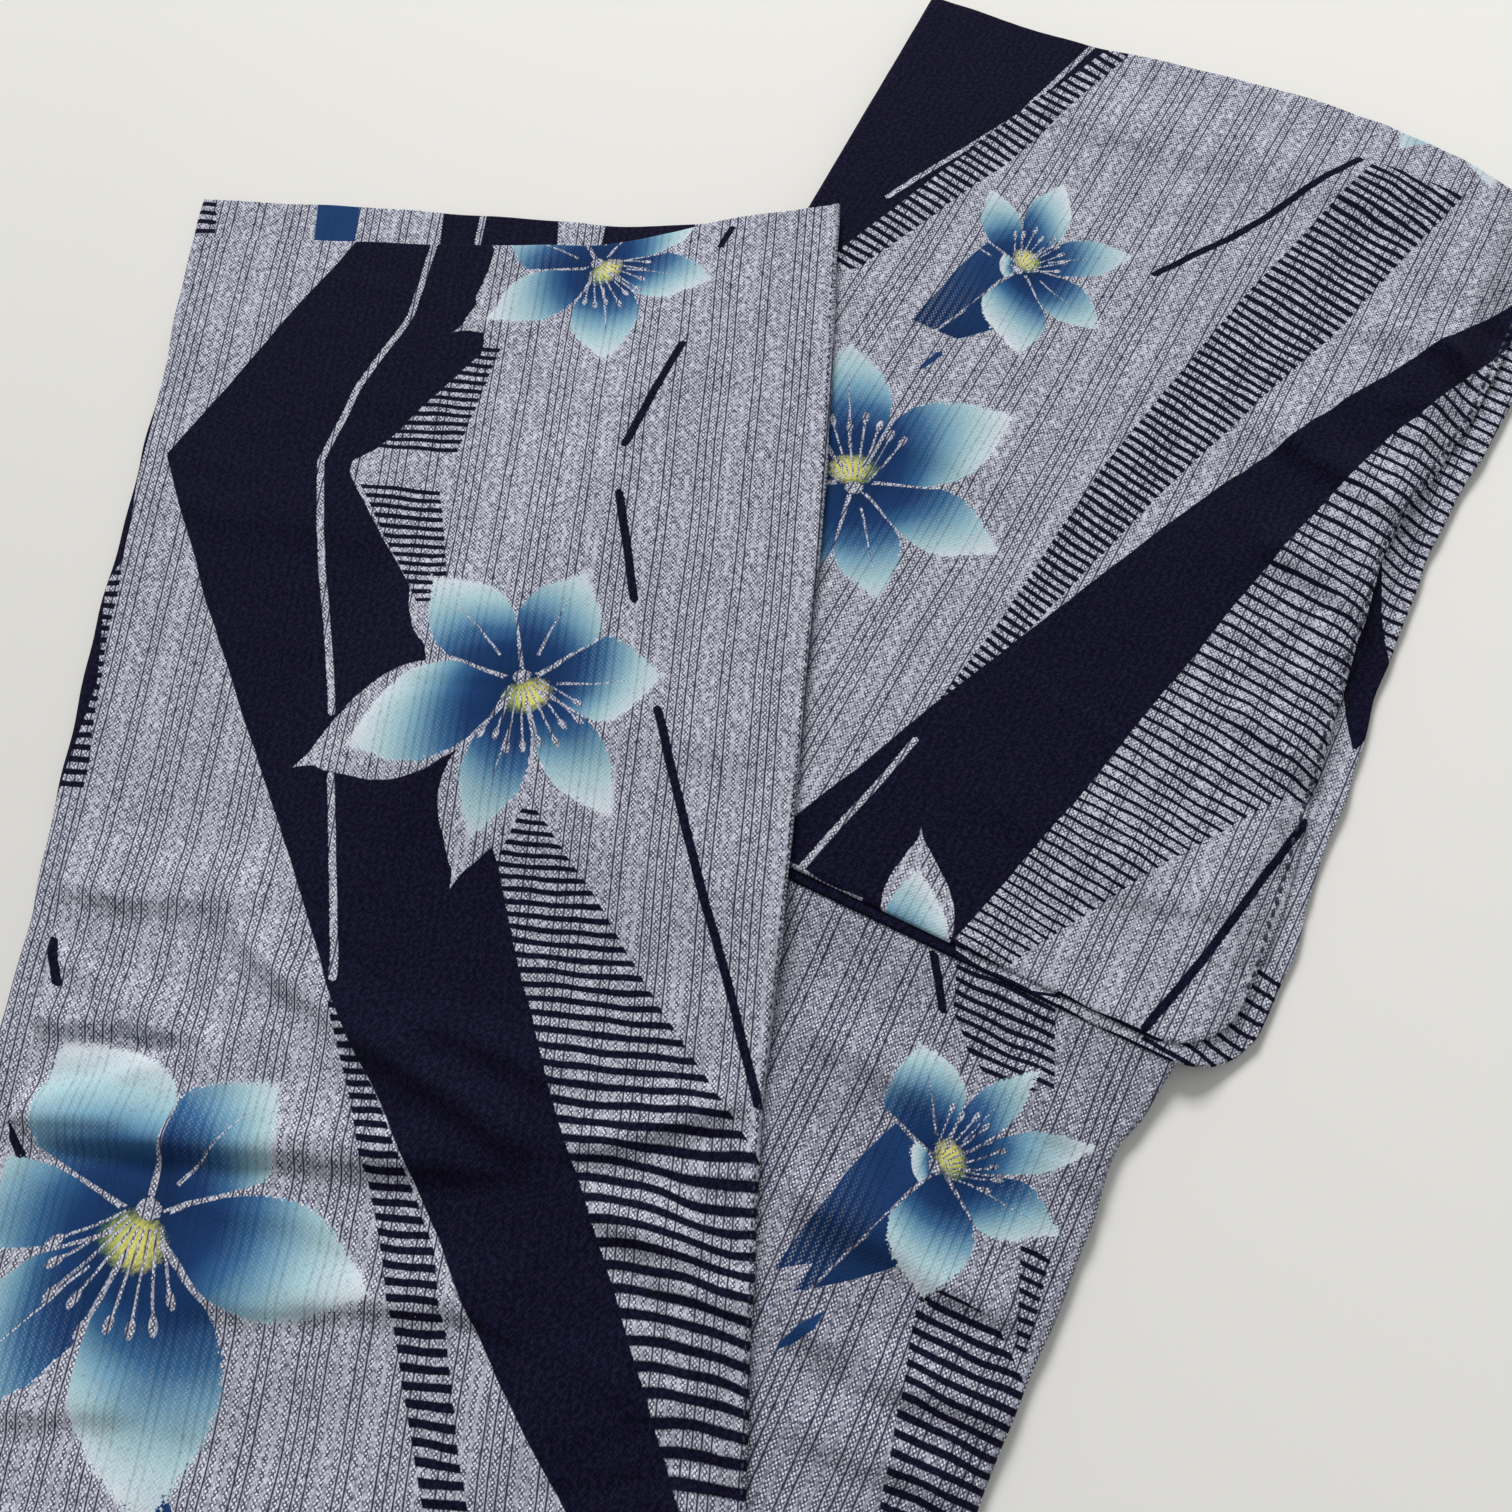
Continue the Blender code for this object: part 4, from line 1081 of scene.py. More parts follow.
def weave(across, along, grainy, shade):
    """The undyed cotton: mottled yarn in ribs of small knots, with dark lines between some ribs."""
    phase = across / RIB
    edge = phase.rounded()
    off_edge = abs(phase - edge)
    place = edge.scaled(0.1, 0.05).fraction()
    lined = (0.2 - place).above(0.0).more((0.2 - abs(place - 0.6)).above(0.0))
    line = off_edge.clamped(0.112, 0.066) * lined
    rib = off_edge.clamped(0.2, 0.27)
    zigzag = phase.scaled(4.0 * math.pi).cosine() * along.scaled(2.0 * math.pi / KNOT_PITCH).cosine()
    knots = (zigzag + grainy.scaled(1.4, -0.7)).clamped(0.05, 0.5) * rib
    threads = noise(cloth_vector(across, along, THREADS))
    clumps = noise(cloth_vector(across, along, COARSE_GRAIN))
    cloudy = noise(cloth_vector(across, along, CLOUDS), detail=1.0)
    coarser = clumps.scaled(0.9, -0.45) * along.scaled(1.6, 0.42, clamp=True)
    # The layout's shade value darkens the whole ground here: painted shade.
    mottled = threads.scaled(0.6, coarser + cloudy.scaled(0.32, shade - 0.93))
    tone = grainy.scaled(2.1, mottled) + rib.scaled(-0.52)
    ground = mix(tone.held(), GROUND_DARK, GROUND_LIGHT)
    ground = mix(knots.scaled(0.9), ground, KNOT)
    ground = mix(line.scaled(0.9), ground, WARP_LINE)
    soft = noise(cloth_vector(across, along, SWELLS))
    relief = soft.scaled(1.6, zigzag * rib.scaled(0.3)) - line.scaled(0.9)
    return ground, knots, line, relief


SKIRT_LAYOUT = Layout(
    bands=(
        Region(left=((-0.16, 0.0), (-0.08, -0.064), (-0.037, -0.097), (0.046, -0.148), (0.105, -0.186),
                     (0.284, -0.281), (0.361, -0.316), (0.492, -0.247), (0.55, -0.217)),
               right=((-0.16, 0.06), (-0.076, -0.022), (0.014, -0.063), (0.074, -0.091), (0.131, -0.113),
                      (0.168, -0.125), (0.249, -0.168), (0.29, -0.18), (0.292, -0.182), (0.351, -0.222),
                      (0.358, -0.226), (0.364, -0.226), (0.372, -0.215), (0.431, -0.172), (0.441, -0.172),
                      (0.464, -0.18), (0.48, -0.176), (0.55, -0.17))),
    ),
    hatches=(
        Hatch((Region(left=((0.372, -0.22), (0.436, -0.176)), right=((0.372, -0.176), (0.436, -0.163))),
               Region(left=((0.291, -0.182), (0.352, -0.22)), right=((0.291, -0.166), (0.352, -0.181)))),
              pitch=0.0049, duty=0.5),
        Hatch((Region(left=((-0.2, 0.06), (-0.076, -0.024), (0.014, -0.065), (0.074, -0.093),
                            (0.131, -0.115), (0.166, -0.127), (0.194, -0.117)),
                      right=((-0.2, 0.08), (0.04, 0.01), (0.064, -0.01), (0.11, -0.048), (0.152, -0.078),
                             (0.19, -0.108), (0.194, -0.112))),),
              pitch=0.0045, duty=0.46, grow=0.022),
        Hatch((Region(left=((-0.2, -0.075), (-0.083, -0.118), (0.007, -0.15), (0.104, -0.187)),
                      right=((-0.2, -0.05), (-0.083, -0.101), (0.007, -0.128), (0.046, -0.149),
                             (0.104, -0.184))),),
              pitch=0.005, duty=0.52, grow=0.01),
    ),
    strokes=(
        course(((0.074, -0.005), (0.244, -0.064)), ((0.294, -0.08), (0.352, -0.094)),
               ((0.375, -0.094), (0.438, -0.072)), half_width=0.0021),
        course(((0.03, -0.303), (0.054, -0.318)), ((0.101, -0.305), (0.122, -0.313)), half_width=0.0024),
        course(((0.494, -0.058), (0.508, -0.053)), half_width=0.0018),
    ),
    lines=(
        course(((0.112, -0.187), (0.205, -0.206)),
               ((0.232, -0.212), (0.308, -0.23), (0.364, -0.241), (0.407, -0.229), (0.45, -0.211),
                (0.52, -0.203)), half_width=0.0017),
    ),
    flowers=rows(
        Flower,
        (-0.105, -0.185, -0.2, 12, 0.078, 0.1, 40, 150, 0.0, 0.4),
        (0.117, 0.01, -0.246, -22, 0.098, 0.18, 190, 200, 0.0, 2.0),
        (0.362, 0.251, -0.1245, 17, 0.074, 0.14, 235, 160, 0.0, 3.6),
        (9.0, 0.487, -0.12, -7, 0.062, 0.04, 120, 140, 0.0, 5.1),
    ),
    leaves=(
        ((-0.13, -0.204, -0.001), (-0.118, -0.208, 0.006), (-0.098, -0.217, 0.011), (-0.082, -0.223, 0.007),
         (-0.07, -0.227, 0.0022), (-0.062, -0.23, -0.001)),
        ((-0.062, -0.231, -0.001), (-0.058, -0.233, 0.0015), (-0.04, -0.24, 0.0017),
         (-0.036, -0.241, -0.001)),
    ),
    grain=-0.004, haloes=True,
)

SKIRT_UNDER_LAYOUT = Layout(
    bands=(
        Region(left=((0.47, -0.202), (0.53, -0.206)), right=((0.47, -0.142), (0.53, -0.146))),
        Region(left=((0.47, -0.124), (0.53, -0.119)), right=((0.47, -0.07), (0.53, -0.074))),
        Region(left=((-0.06, -0.36), (0.24, -0.36), (0.29, -0.36), (0.326, -0.36), (0.432, -0.36)),
               right=((-0.06, -0.35), (0.24, -0.323), (0.29, -0.33), (0.326, -0.3165), (0.432, -0.327))),
    ),
    hatches=(
        Hatch((Region(left=((0.488, -0.36), (0.514, -0.36)), right=((0.488, -0.32), (0.514, -0.324))),
               Region(left=((0.19, -0.36), (0.3, -0.36)), right=((0.19, -0.31), (0.3, -0.312)))),
              pitch=0.0058, duty=0.48),
    ),
    strokes=(course(((0.494, -0.058), (0.52, -0.048)), half_width=0.0018),),
    lines=(course(((0.47, -0.185), (0.53, -0.184)), half_width=0.0016),),
    leaves=(
        ((0.476, -0.258, -0.001), (0.484, -0.258, 0.0105), (0.52, -0.26, 0.011), (0.54, -0.262, 0.01)),
    ),
    grain=-0.004,
)

SLEEVE_LAYOUT = Layout(
    bands=(
        Region(left=((0.44, -0.3), (0.7, -0.3)),
               right=((0.44, -0.206), (0.462, -0.186), (0.555, -0.15), (0.649, -0.11), (0.7, -0.08))),
        # A thin dark line along the rolled bottom edge, running on right of the navy band: painted shade of
        # the gap under the edge.
        Region(left=((0.15, -0.012), (0.1664, -0.012)), right=((0.15, 0.116), (0.1664, 0.116))),
        # Below along 0.1676 this band keeps right of across -0.03, leaving a light line along the rolled
        # bottom edge: a painted highlight.
        Region(left=((0.15, -0.03), (0.1676, -0.03), (0.1684, -0.082), (0.188, -0.072), (0.306, -0.02),
                     (0.392, 0.02), (0.504, 0.079), (0.588, 0.13), (0.64, 0.163)),
               right=((0.15, 0.006), (0.187, 0.017), (0.249, 0.035), (0.329, 0.055), (0.418, 0.077),
                      (0.486, 0.1), (0.563, 0.137), (0.64, 0.18))),
    ),
    hatches=(
        Hatch((Region(left=((0.452, -0.208), (0.462, -0.188), (0.555, -0.152), (0.649, -0.112),
                            (0.668, -0.106)),
                      right=((0.452, -0.196), (0.462, -0.17), (0.555, -0.13), (0.649, -0.099),
                             (0.668, -0.1))),
               Region(left=((0.25, -0.041), (0.314, -0.03), (0.408, -0.018), (0.537, 0.011),
                            (0.642, 0.041)),
                      right=((0.25, -0.037), (0.309, -0.018), (0.411, 0.014), (0.535, 0.059),
                             (0.642, 0.09)))),
              pitch=0.0061, duty=0.5, tilt=0.22, grow=-0.0038),
        Hatch((Region(left=((0.15, 0.004), (0.187, 0.015), (0.249, 0.033), (0.329, 0.053), (0.418, 0.075),
                            (0.486, 0.098), (0.563, 0.135), (0.6, 0.157)),
                      right=((0.15, 0.02), (0.166, 0.036), (0.227, 0.073), (0.291, 0.117), (0.305, 0.16),
                             (0.547, 0.16), (0.6, 0.165))),),
              pitch=0.009, duty=0.31, tilt=0.13, grow=-0.0108),
    ),
    strokes=(
        course(((0.523, -0.035), (0.562, -0.009), (0.641, 0.034)), half_width=0.0021),
        course(((0.166, 0.098), (0.218, 0.113), (0.288, 0.13)), half_width=0.002),
    ),
    lines=(
        course(((0.508, -0.176), (0.588, -0.136), (0.648, -0.118)), half_width=0.0015),
        course(((0.165, -0.06), (0.244, -0.04)), half_width=0.0015),
    ),
    flowers=rows(
        Flower,
        (0.236, 0.133, 0.003, -3, 0.052, 0.1, 0, 180, 0.0, 1.2),
        (0.446, 0.35, -0.121, -30, 0.078, 0.12, 0, -28, 0.0, 4.4),
        (0.605, 0.5, -0.097, 0, 0.053, 0.12, 60, 20, 198, 0.9),
        (9.0, 0.712, 0.072, 20, 0.064, 0.0, 0, 180, 0.0, 2.7),
    ),
    leaves=(
        ((0.419, -0.119, -0.001), (0.424, -0.117, 0.0014), (0.434, -0.113, 0.0018),
         (0.437, -0.112, -0.001)),
    ),
    grain=-0.045, haloes=True,
)

SLEEVE_BACK_LAYOUT = Layout(
    bands=(
        Region(left=((0.33, 0.138), (0.358, 0.122), (0.41, 0.116), (0.44, 0.11)),
               right=((0.33, 0.14), (0.358, 0.15), (0.4, 0.128), (0.44, 0.112))),
        Region(left=((0.15, -0.22), (0.185, -0.22)),
               right=((0.15, 0.05), (0.159, 0.044), (0.164, 0.014), (0.185, 0.004))),
        # A thin dark line on the rolled bottom rim: painted shade where the rim meets the body.
        Region(left=((0.15, 0.01), (0.1614, 0.01)), right=((0.15, 0.114), (0.1614, 0.114))),
    ),
    hatches=(
        Hatch((Region(left=((0.38, 0.118), (0.6, 0.118)), right=((0.38, 0.15), (0.6, 0.165))),
               Region(left=((0.15, 0.09), (0.215, 0.13)), right=((0.15, 0.15), (0.215, 0.15)))),
              pitch=0.0066, duty=0.32, tilt=0.1),
    ),
    strokes=(course(((0.158, 0.044), (0.166, 0.06)), half_width=0.002),),
    grain=-0.035,
)

BODY_LAYOUT = Layout(
    bands=(Region(left=((-0.34, -0.12), (-0.11, -0.035), (0.128, -0.06), (0.16, -0.07)),
                  right=((-0.34, -0.05), (-0.11, -0.034), (0.128, -0.053), (0.16, -0.062))),),
    hatches=(
        Hatch((Region(left=((0.12, 0.05), (0.128, 0.036), (0.14, 0.024), (0.16, 0.016)),
                      right=((0.12, 0.058), (0.128, 0.074), (0.14, 0.07), (0.16, 0.062))),
               Region(left=((0.03, 0.099), (0.066, 0.086)), right=((0.03, 0.104), (0.066, 0.099)))),
              pitch=0.005, duty=0.42, tilt=-0.03),
        Hatch((Region(left=((-0.22, 0.11), (-0.12, 0.096), (-0.046, 0.075), (0.036, 0.056)),
                      right=((-0.22, 0.15), (-0.12, 0.14), (-0.029, 0.125), (0.01, 0.118),
                             (0.036, 0.088))),),
              pitch=0.006, duty=0.46, tilt=-0.05, grow=0.004),
    ),
    strokes=(course(((0.137, 0.02), (0.16, 0.006)), half_width=0.0022),),
    flowers=rows(
        Flower,
        (-0.055, -0.15, 0.02, 10, 0.064, 0.1, 30, 160, 0.0, 3.3),
        (9.0, 0.081, 0.044, 2, 0.057, 0.1, 60, 40, 199, 5.6),
    ),
    leaves=(
        ((-0.015, 0.014, -0.001), (-0.008, 0.018, 0.0022), (0.002, 0.023, 0.0026), (0.012, 0.028, -0.001)),
    ),
    # Painted shade: the body panel's whole ground is painted darker.
    grain=0.01, shade=-0.22,
)

PLAIN_LAYOUT = Layout(
    bands=(Region(left=((-0.3, -0.1), (0.1, -0.16), (0.4, -0.24), (0.7, -0.2)),
                  right=((-0.3, -0.06), (0.1, -0.11), (0.4, -0.15), (0.7, -0.19))),),
    hatches=(Hatch((Region(left=((-0.3, -0.05), (0.3, -0.09)), right=((-0.3, 0.03), (0.3, -0.08))),),
                   pitch=0.006, duty=0.45, tilt=-0.03),),
)


# The pieces

def skirt_relief(along, across):
    """Relief of the skirt half's top panel, which lies slacker near the turn."""
    return panel_relief(SKIRT_RELIEF, along, across, 0.28 + 0.72 * smooth((0.16 - along) / 0.1))


def build_skirt_top(material):
    """The right back panel on top, which goes round the turn."""
    def level(x, y, along, across):
        inset = read_table(SKIRT_SECTIONS, "panel_right", along) - across
        fade = smooth((along - TURN_LEFT_ALONG) / 0.02)
        sewn = edge_puckers(along, inset, 0.014, 0.0005, 0.031)
        seam = (0.0004 * np.exp(-((inset - 0.0022) / 0.0012) ** 2)
                - 0.0003 * np.exp(-((inset - 0.0052) / 0.001) ** 2))
        return climb(x, y) + SKIRT_TOP + fade * (skirt_relief(along, across) + sewn + seam)

    return lay_sheets("back_right_skirt_cloth", material, Lay(
        SKIRT, table_edge(SKIRT_SECTIONS, "panel_left", 0.0, 0.0008, 2.0),
        table_edge(SKIRT_SECTIONS, "panel_right", 0.0, 0.0005, 0.7), SKIRT_TURN,
        table_edge(HEM_SECTIONS, "panel_hem", 0.0, 0.0005, 5.0), level,
        Sides(SELVEDGE, ROLLED, TURNED, HEMMED), 0.0027, turn_depth=0.0, pull=skirt_pull))


def build_skirt_under(material):
    """The right front panel under it, which shows at the hem and along the left edge."""
    def level(x, y, along, across):
        return climb(x, y) + SKIRT_UNDER_TOP + np.minimum(skirt_relief(along, across), 0.0)

    return lay_sheets("front_right_skirt_cloth", material, Lay(
        SKIRT, table_edge(SKIRT_SECTIONS, "under_left", 0.0, 0.0008, 1.0),
        table_edge(SKIRT_SECTIONS, "panel_right", -0.004, 0.0004, 3.0), SKIRT_TURN,
        table_edge(HEM_SECTIONS, "under_hem", 0.0, 0.0006, 4.0), level,
        Sides((0.0028, 0.0034), SELVEDGE, TURNED, HEMMED), 0.0042, turn_depth=LAYER))


def build_skirt_core(material):
    """The layers folded inside the skirt half."""
    lays = []
    for layer in range(HIDDEN_LAYERS):
        depth = layer * HIDDEN_PITCH
        stagger = 0.0011 * math.sin(2.4 * layer + 0.5)

        def level(x, y, along, across, depth=depth):
            sink = 0.4 * np.minimum(skirt_relief(along, across), 0.0) * (1.0 - depth / SKIRT_CORE_TOP)
            return climb(x, y) + SKIRT_CORE_TOP - depth + sink

        lays.append(Lay(
            SKIRT, table_edge(SKIRT_SECTIONS, "under_left", CORE_INSET - 0.0014 + stagger, 0.0009, layer),
            table_edge(SKIRT_SECTIONS, "panel_right", 0.0016 - CORE_INSET + stagger, 0.0009, 3.0 + layer),
            SKIRT_TURN, table_edge(HEM_SECTIONS, "under_hem", stagger - CORE_INSET, 0.0009, 6.0 + layer),
            level, Sides(INNER, INNER, TURNED, INNER), 0.009, turn_depth=2.0 * LAYER + depth))
    return lay_sheets("folded_layers_skirt_cloth", material, *lays, thickness=INNER_SHEET)


def body_level(top):
    """Level of a body layer whose top is at a height over the table, and rises over the sleeve."""
    return lambda x, y, along, across: BODY_RISE * past_rise(along) + top


def skirt_cover(along):
    """Across measure, on the shoulder half, of the skirt half's right edge over it."""
    return along * math.tan(SKIRT_BEARING - SHOULDER_BEARING) + 0.006


def build_body_top(material):
    """The left back panel, on top of the shoulder half. Its relief is where nothing lies on it."""
    def level(x, y, along, across):
        inset = read_table(BODY_SECTIONS, "right", along) - across
        clear = smooth((across - skirt_cover(along)) / 0.012)
        raised = (panel_relief(BODY_RELIEF, along, across, 1.0)
                  + edge_puckers(along, inset, 0.016, 0.0006, 0.037))
        return body_level(BODY_TOP)(x, y, along, across) + (1.0 - past_rise(along)) * clear * raised

    return lay_sheets("back_left_shoulder_cloth", material, Lay(
        SHOULDER, table_edge(BODY_SECTIONS, "left", 0.0, 0.0005, 1.7),
        table_edge(BODY_SECTIONS, "right", 0.0, 0.0007, 0.3), SHOULDER_TURN,
        fixed_edge(SHOULDER_END), level, Sides(PLAIN, ROLLED, PLAIN, HEMMED), 0.0033))


def build_body_bottom(material):
    """The right back panel, on the underside of the shoulder half."""
    return lay_sheets("back_right_shoulder_cloth", material, Lay(
        SHOULDER, table_edge(BODY_SECTIONS, "left", 0.0, 0.0005, 2.7),
        table_edge(BODY_SECTIONS, "right", -0.0004, 0.0006, 5.3), SHOULDER_TURN,
        fixed_edge(SHOULDER_END - 0.003), body_level(0.0),
        Sides(PLAIN, (0.0034, 0.0034), PLAIN, PLAIN), 0.006, facing=-1))


def build_body_core(material):
    """The layers folded inside the shoulder half, which stop beside the collar."""
    lays = []
    for layer in range(HIDDEN_LAYERS):
        stagger = 0.0011 * math.sin(2.1 * layer + 1.5)
        outer = table_edge(BODY_SECTIONS, "right", 0.001 - CORE_INSET + stagger, 0.0008, 2.0 + layer)

        def right(along, outer=outer):
            beside_collar = smooth((along - COLLAR_START + 0.03) / 0.022)
            return outer(along) - beside_collar * (COLLAR_WIDTH + CORE_INSET - 0.0008)

        lays.append(Lay(
            SHOULDER, table_edge(BODY_SECTIONS, "left", CORE_INSET + stagger, 0.0008, layer), right,
            SHOULDER_TURN, fixed_edge(SHOULDER_END - 0.004 + stagger),
            body_level(BODY_CORE_TOP - layer * HIDDEN_PITCH), Sides(*[INNER] * 4), 0.01))
    return lay_sheets("folded_layers_shoulder_cloth", material, *lays, thickness=INNER_SHEET)


def build_collar(material):
    """The collar band, folded lengthways inside the shoulder end."""
    lays = []
    for layer in range(3):
        stagger = 0.0009 * math.sin(2.1 * layer + 0.5)
        lays.append(Lay(
            SHOULDER, table_edge(BODY_SECTIONS, "right", stagger - COLLAR_WIDTH - CORE_INSET),
            table_edge(BODY_SECTIONS, "right", stagger - CORE_INSET - 0.0004, 0.0006, layer),
            fixed_edge(COLLAR_START), fixed_edge(COLLAR_END + stagger),
            body_level(BODY_CORE_TOP - layer * COLLAR_PITCH), Sides(*[PLAIN] * 4), 0.008))
    return lay_sheets("collar_cloth", material, *lays, thickness=HIDDEN_SHEET)


def rounded_bottom(bottom, cuff, radius):
    """A sleeve's bottom edge, which curves up to its cuff in a quarter circle."""
    def edge(across):
        run = np.clip((across - (cuff - radius)) / radius, 0.0, 1.0)
        return bottom + radius * (1.0 - np.sqrt(1.0 - run ** 2))
    return edge


def build_sleeve_front(material):
    """The left sleeve's upper layer, rolled at its bottom edge and puckered at its cuff."""
    cuff = table_edge(CUFF_SECTIONS, "front_cuff", 0.0, 0.0008, 1.0)

    def level(x, y, along, across):
        inset = cuff(along) - across
        lift = np.clip(along, SLEEVE_BOTTOM_FRONT, None) - SLEEVE_BOTTOM_FRONT
        sewn = (edge_puckers(along, inset, 0.026, 0.0018, 0.029)
                + edge_puckers(along + 0.013, inset, 0.01, 0.0012, 0.0127)
                + 0.0008 * np.exp(-((lift - 0.0035) / 0.0022) ** 2))
        slack = 0.3 + 0.7 * smooth((across - 0.01) / 0.06)
        return (sleeve_level(along, across) + (SLEEVE_TOP - SLEEVE_BASE)
                + panel_relief(SLEEVE_RELIEF, along, across, slack, sewn))

    return lay_sheets("sleeve_left_front_cloth", material, Lay(
        SHOULDER, fixed_edge(SLEEVE_LEFT), cuff,
        rounded_bottom(SLEEVE_BOTTOM_FRONT, FRONT_CORNER, CORNER_RADIUS),
        table_edge(SHOULDER_SECTIONS, "top", 0.0, 0.0006, 1.0), level,
        Sides((0.0026, 0.003), HEMMED, HEMMED, (0.0024, 0.0026)), 0.0029))


def build_sleeve_back(material):
    """The left sleeve's lower layer."""
    def level(x, y, along, across):
        inset = read_table(CUFF_SECTIONS, "back_cuff", along) - across
        return (sleeve_level(along, across) + (SLEEVE_BACK_TOP - SLEEVE_BASE)
                + edge_puckers(along + 0.02, inset, 0.006, 0.0009, 0.033))

    return lay_sheets("sleeve_left_back_cloth", material, Lay(
        SHOULDER, fixed_edge(SLEEVE_LEFT + 0.005), table_edge(CUFF_SECTIONS, "back_cuff", 0.0, 0.0009, 2.0),
        rounded_bottom(SLEEVE_BOTTOM_BACK, BACK_CORNER, CORNER_RADIUS),
        table_edge(SHOULDER_SECTIONS, "top", -0.004), level,
        Sides(PLAIN, HEMMED, HEMMED, PLAIN), 0.0042))


def build_sleeve_under(material):
    """The right sleeve, folded flat under the body."""
    lays = [Lay(SHOULDER, fixed_edge(SLEEVE_LEFT + 0.001),
                table_edge(CUFF_SECTIONS, "back_cuff", -inset, 0.0008, 8.0),
                rounded_bottom(SLEEVE_BOTTOM_UNDER, BACK_CORNER - inset, CORNER_RADIUS),
                table_edge(SHOULDER_SECTIONS, "top", -0.003),
                lambda x, y, along, across, top=top: np.full_like(across, top),
                Sides(*[PLAIN] * 4), 0.008)
            for top, inset in ((0.0026, 0.0048), (0.0013, 0.004))]
    return lay_sheets("sleeve_right_cloth", material, *lays, thickness=HIDDEN_SHEET)


def thread_paint(colour):
    """Sewing cotton, a little lighter in fine random flecks."""
    material, tree, shader = new_paint("yukata_thread")
    source = tree.nodes.new("ShaderNodeTexCoord")
    strands = noise(source.outputs["Object"], 2600.0, 1.0)
    lighter = [min(1.0, 0.015 + 2.4 * value) for value in colour]
    plug(mix(strands.clamped(0.35, 0.75), (*colour, 1.0), (*lighter, 1.0)), shader.inputs["Base Color"])
    shader.inputs["Roughness"].default_value = 0.75
    return material


def make_stitch(length, width, height, paint):
    """One stitch: a low bead drawn out lengthways, whose ends dip into the cloth."""
    bpy.ops.object.select_all(action="DESELECT")
    bpy.ops.mesh.primitive_uv_sphere_add(segments=8, ring_count=6, radius=0.5)
    stitch = bpy.context.active_object
    bpy.ops.object.mode_set(mode="EDIT")
    bpy.ops.mesh.select_all(action="SELECT")
    bpy.ops.transform.rotate(value=0.5 * math.pi, orient_axis="Y", center_override=(0.0, 0.0, 0.0))
    bpy.ops.transform.resize(value=(length, width, height), center_override=(0.0, 0.0, 0.0))
    form = bmesh.from_edit_mesh(stitch.data)
    for vertex in form.verts:
        vertex.select_set(abs(vertex.co.x) > 0.38 * length)
    form.select_flush_mode()
    bmesh.update_edit_mesh(stitch.data)
    bpy.ops.transform.translate(value=(0.0, 0.0, -0.35 * height))
    bpy.ops.object.mode_set(mode="OBJECT")
    bpy.ops.object.shade_smooth()
    stitch.data.materials.append(paint)
    return stitch


def sew(name, piece, half, edge, reach, pitch, size, paint):
    """Sew a row of stitches on a piece, along an edge line of its half, between two places along it."""
    stitch = make_stitch(*size, paint)
    places = np.arange(reach[0], reach[1], pitch)
    copies = []
    for number, along in enumerate(places):
        ends = []
        for step in (-SEWING_STEP, SEWING_STEP):
            across = float(edge(np.array([along + step]))[0])
            x, y = half.plan(along + step, across)
            start = Vector((x - OFFSET_X, y - OFFSET_Y, DROP_HEIGHT))
            hit, point, normal, _ = piece.ray_cast(start, Vector((0.0, 0.0, -1.0)))
            if not hit:
                raise RuntimeError(f"{name}: no cloth under the stitch at {along:.3f}")
            ends.append(point)
        run = (ends[1] - ends[0]).normalized()
        side = normal.cross(run).normalized()
        side = (side + run * 0.16 * math.sin(7.1 * number)).normalized()
        upward = run.cross(side).normalized()
        turned = Matrix((side.cross(upward), side, upward)).transposed().to_4x4()
        turned.translation = 0.5 * (ends[0] + ends[1]) + upward * 0.1 * size[2]
        copy = bpy.data.objects.new(name, stitch.data.copy())
        stretch = 1.0 + 0.16 * math.sin(3.7 * number)
        copy.matrix_world = turned @ Matrix.Diagonal((stretch, 1.0, 1.0, 1.0))
        bpy.context.collection.objects.link(copy)
        copies.append(copy)
    bpy.data.objects.remove(stitch)
    bpy.ops.object.select_all(action="DESELECT")
    for copy in copies:
        copy.select_set(True)
    bpy.context.view_layer.objects.active = copies[0]
    bpy.ops.object.join()
    bpy.ops.object.transform_apply(location=True, rotation=True, scale=True)
    row = bpy.context.active_object
    row.name = name
    row.select_set(False)
    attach(row, "root")
    return row


class YukataCloth(bpy.types.PropertyGroup):
    """Sizes and finishes of the cloth."""
    stitch_pitch: bpy.props.FloatProperty(
        name="Stitch pitch", description="Distance from one edge stitch to the next",
        default=0.0046, min=0.002, max=0.02, subtype="DISTANCE", unit="LENGTH")
    thread: bpy.props.FloatVectorProperty(
        name="Thread", description="Colour of the sewing thread",
        default=(0.012, 0.011, 0.03), size=3, min=0.0, max=1.0, subtype="COLOR")


class YukataStage(bpy.types.PropertyGroup):
    """The surface, the light and the camera."""
    softbox_power: bpy.props.FloatProperty(
        name="Softbox", description="Power of the large soft light", default=316.0, min=0.0, unit="POWER")
    daylight: bpy.props.FloatProperty(
        name="Daylight", description="Strength of the even light from all round", default=0.36, min=0.0)
    camera_height: bpy.props.FloatProperty(
        name="Camera height", description="Height of the camera over the surface",
        default=0.64, min=0.1, subtype="DISTANCE", unit="LENGTH")
    camera_tilt: bpy.props.FloatProperty(
        name="Camera tilt", description="Tilt of the camera from straight down",
        default=math.radians(20.0), subtype="ANGLE", unit="ROTATION")
    lens: bpy.props.FloatProperty(
        name="Lens", description="Focal length in millimetres", default=36.0 * 1500.0 / 1512.0, min=10.0)


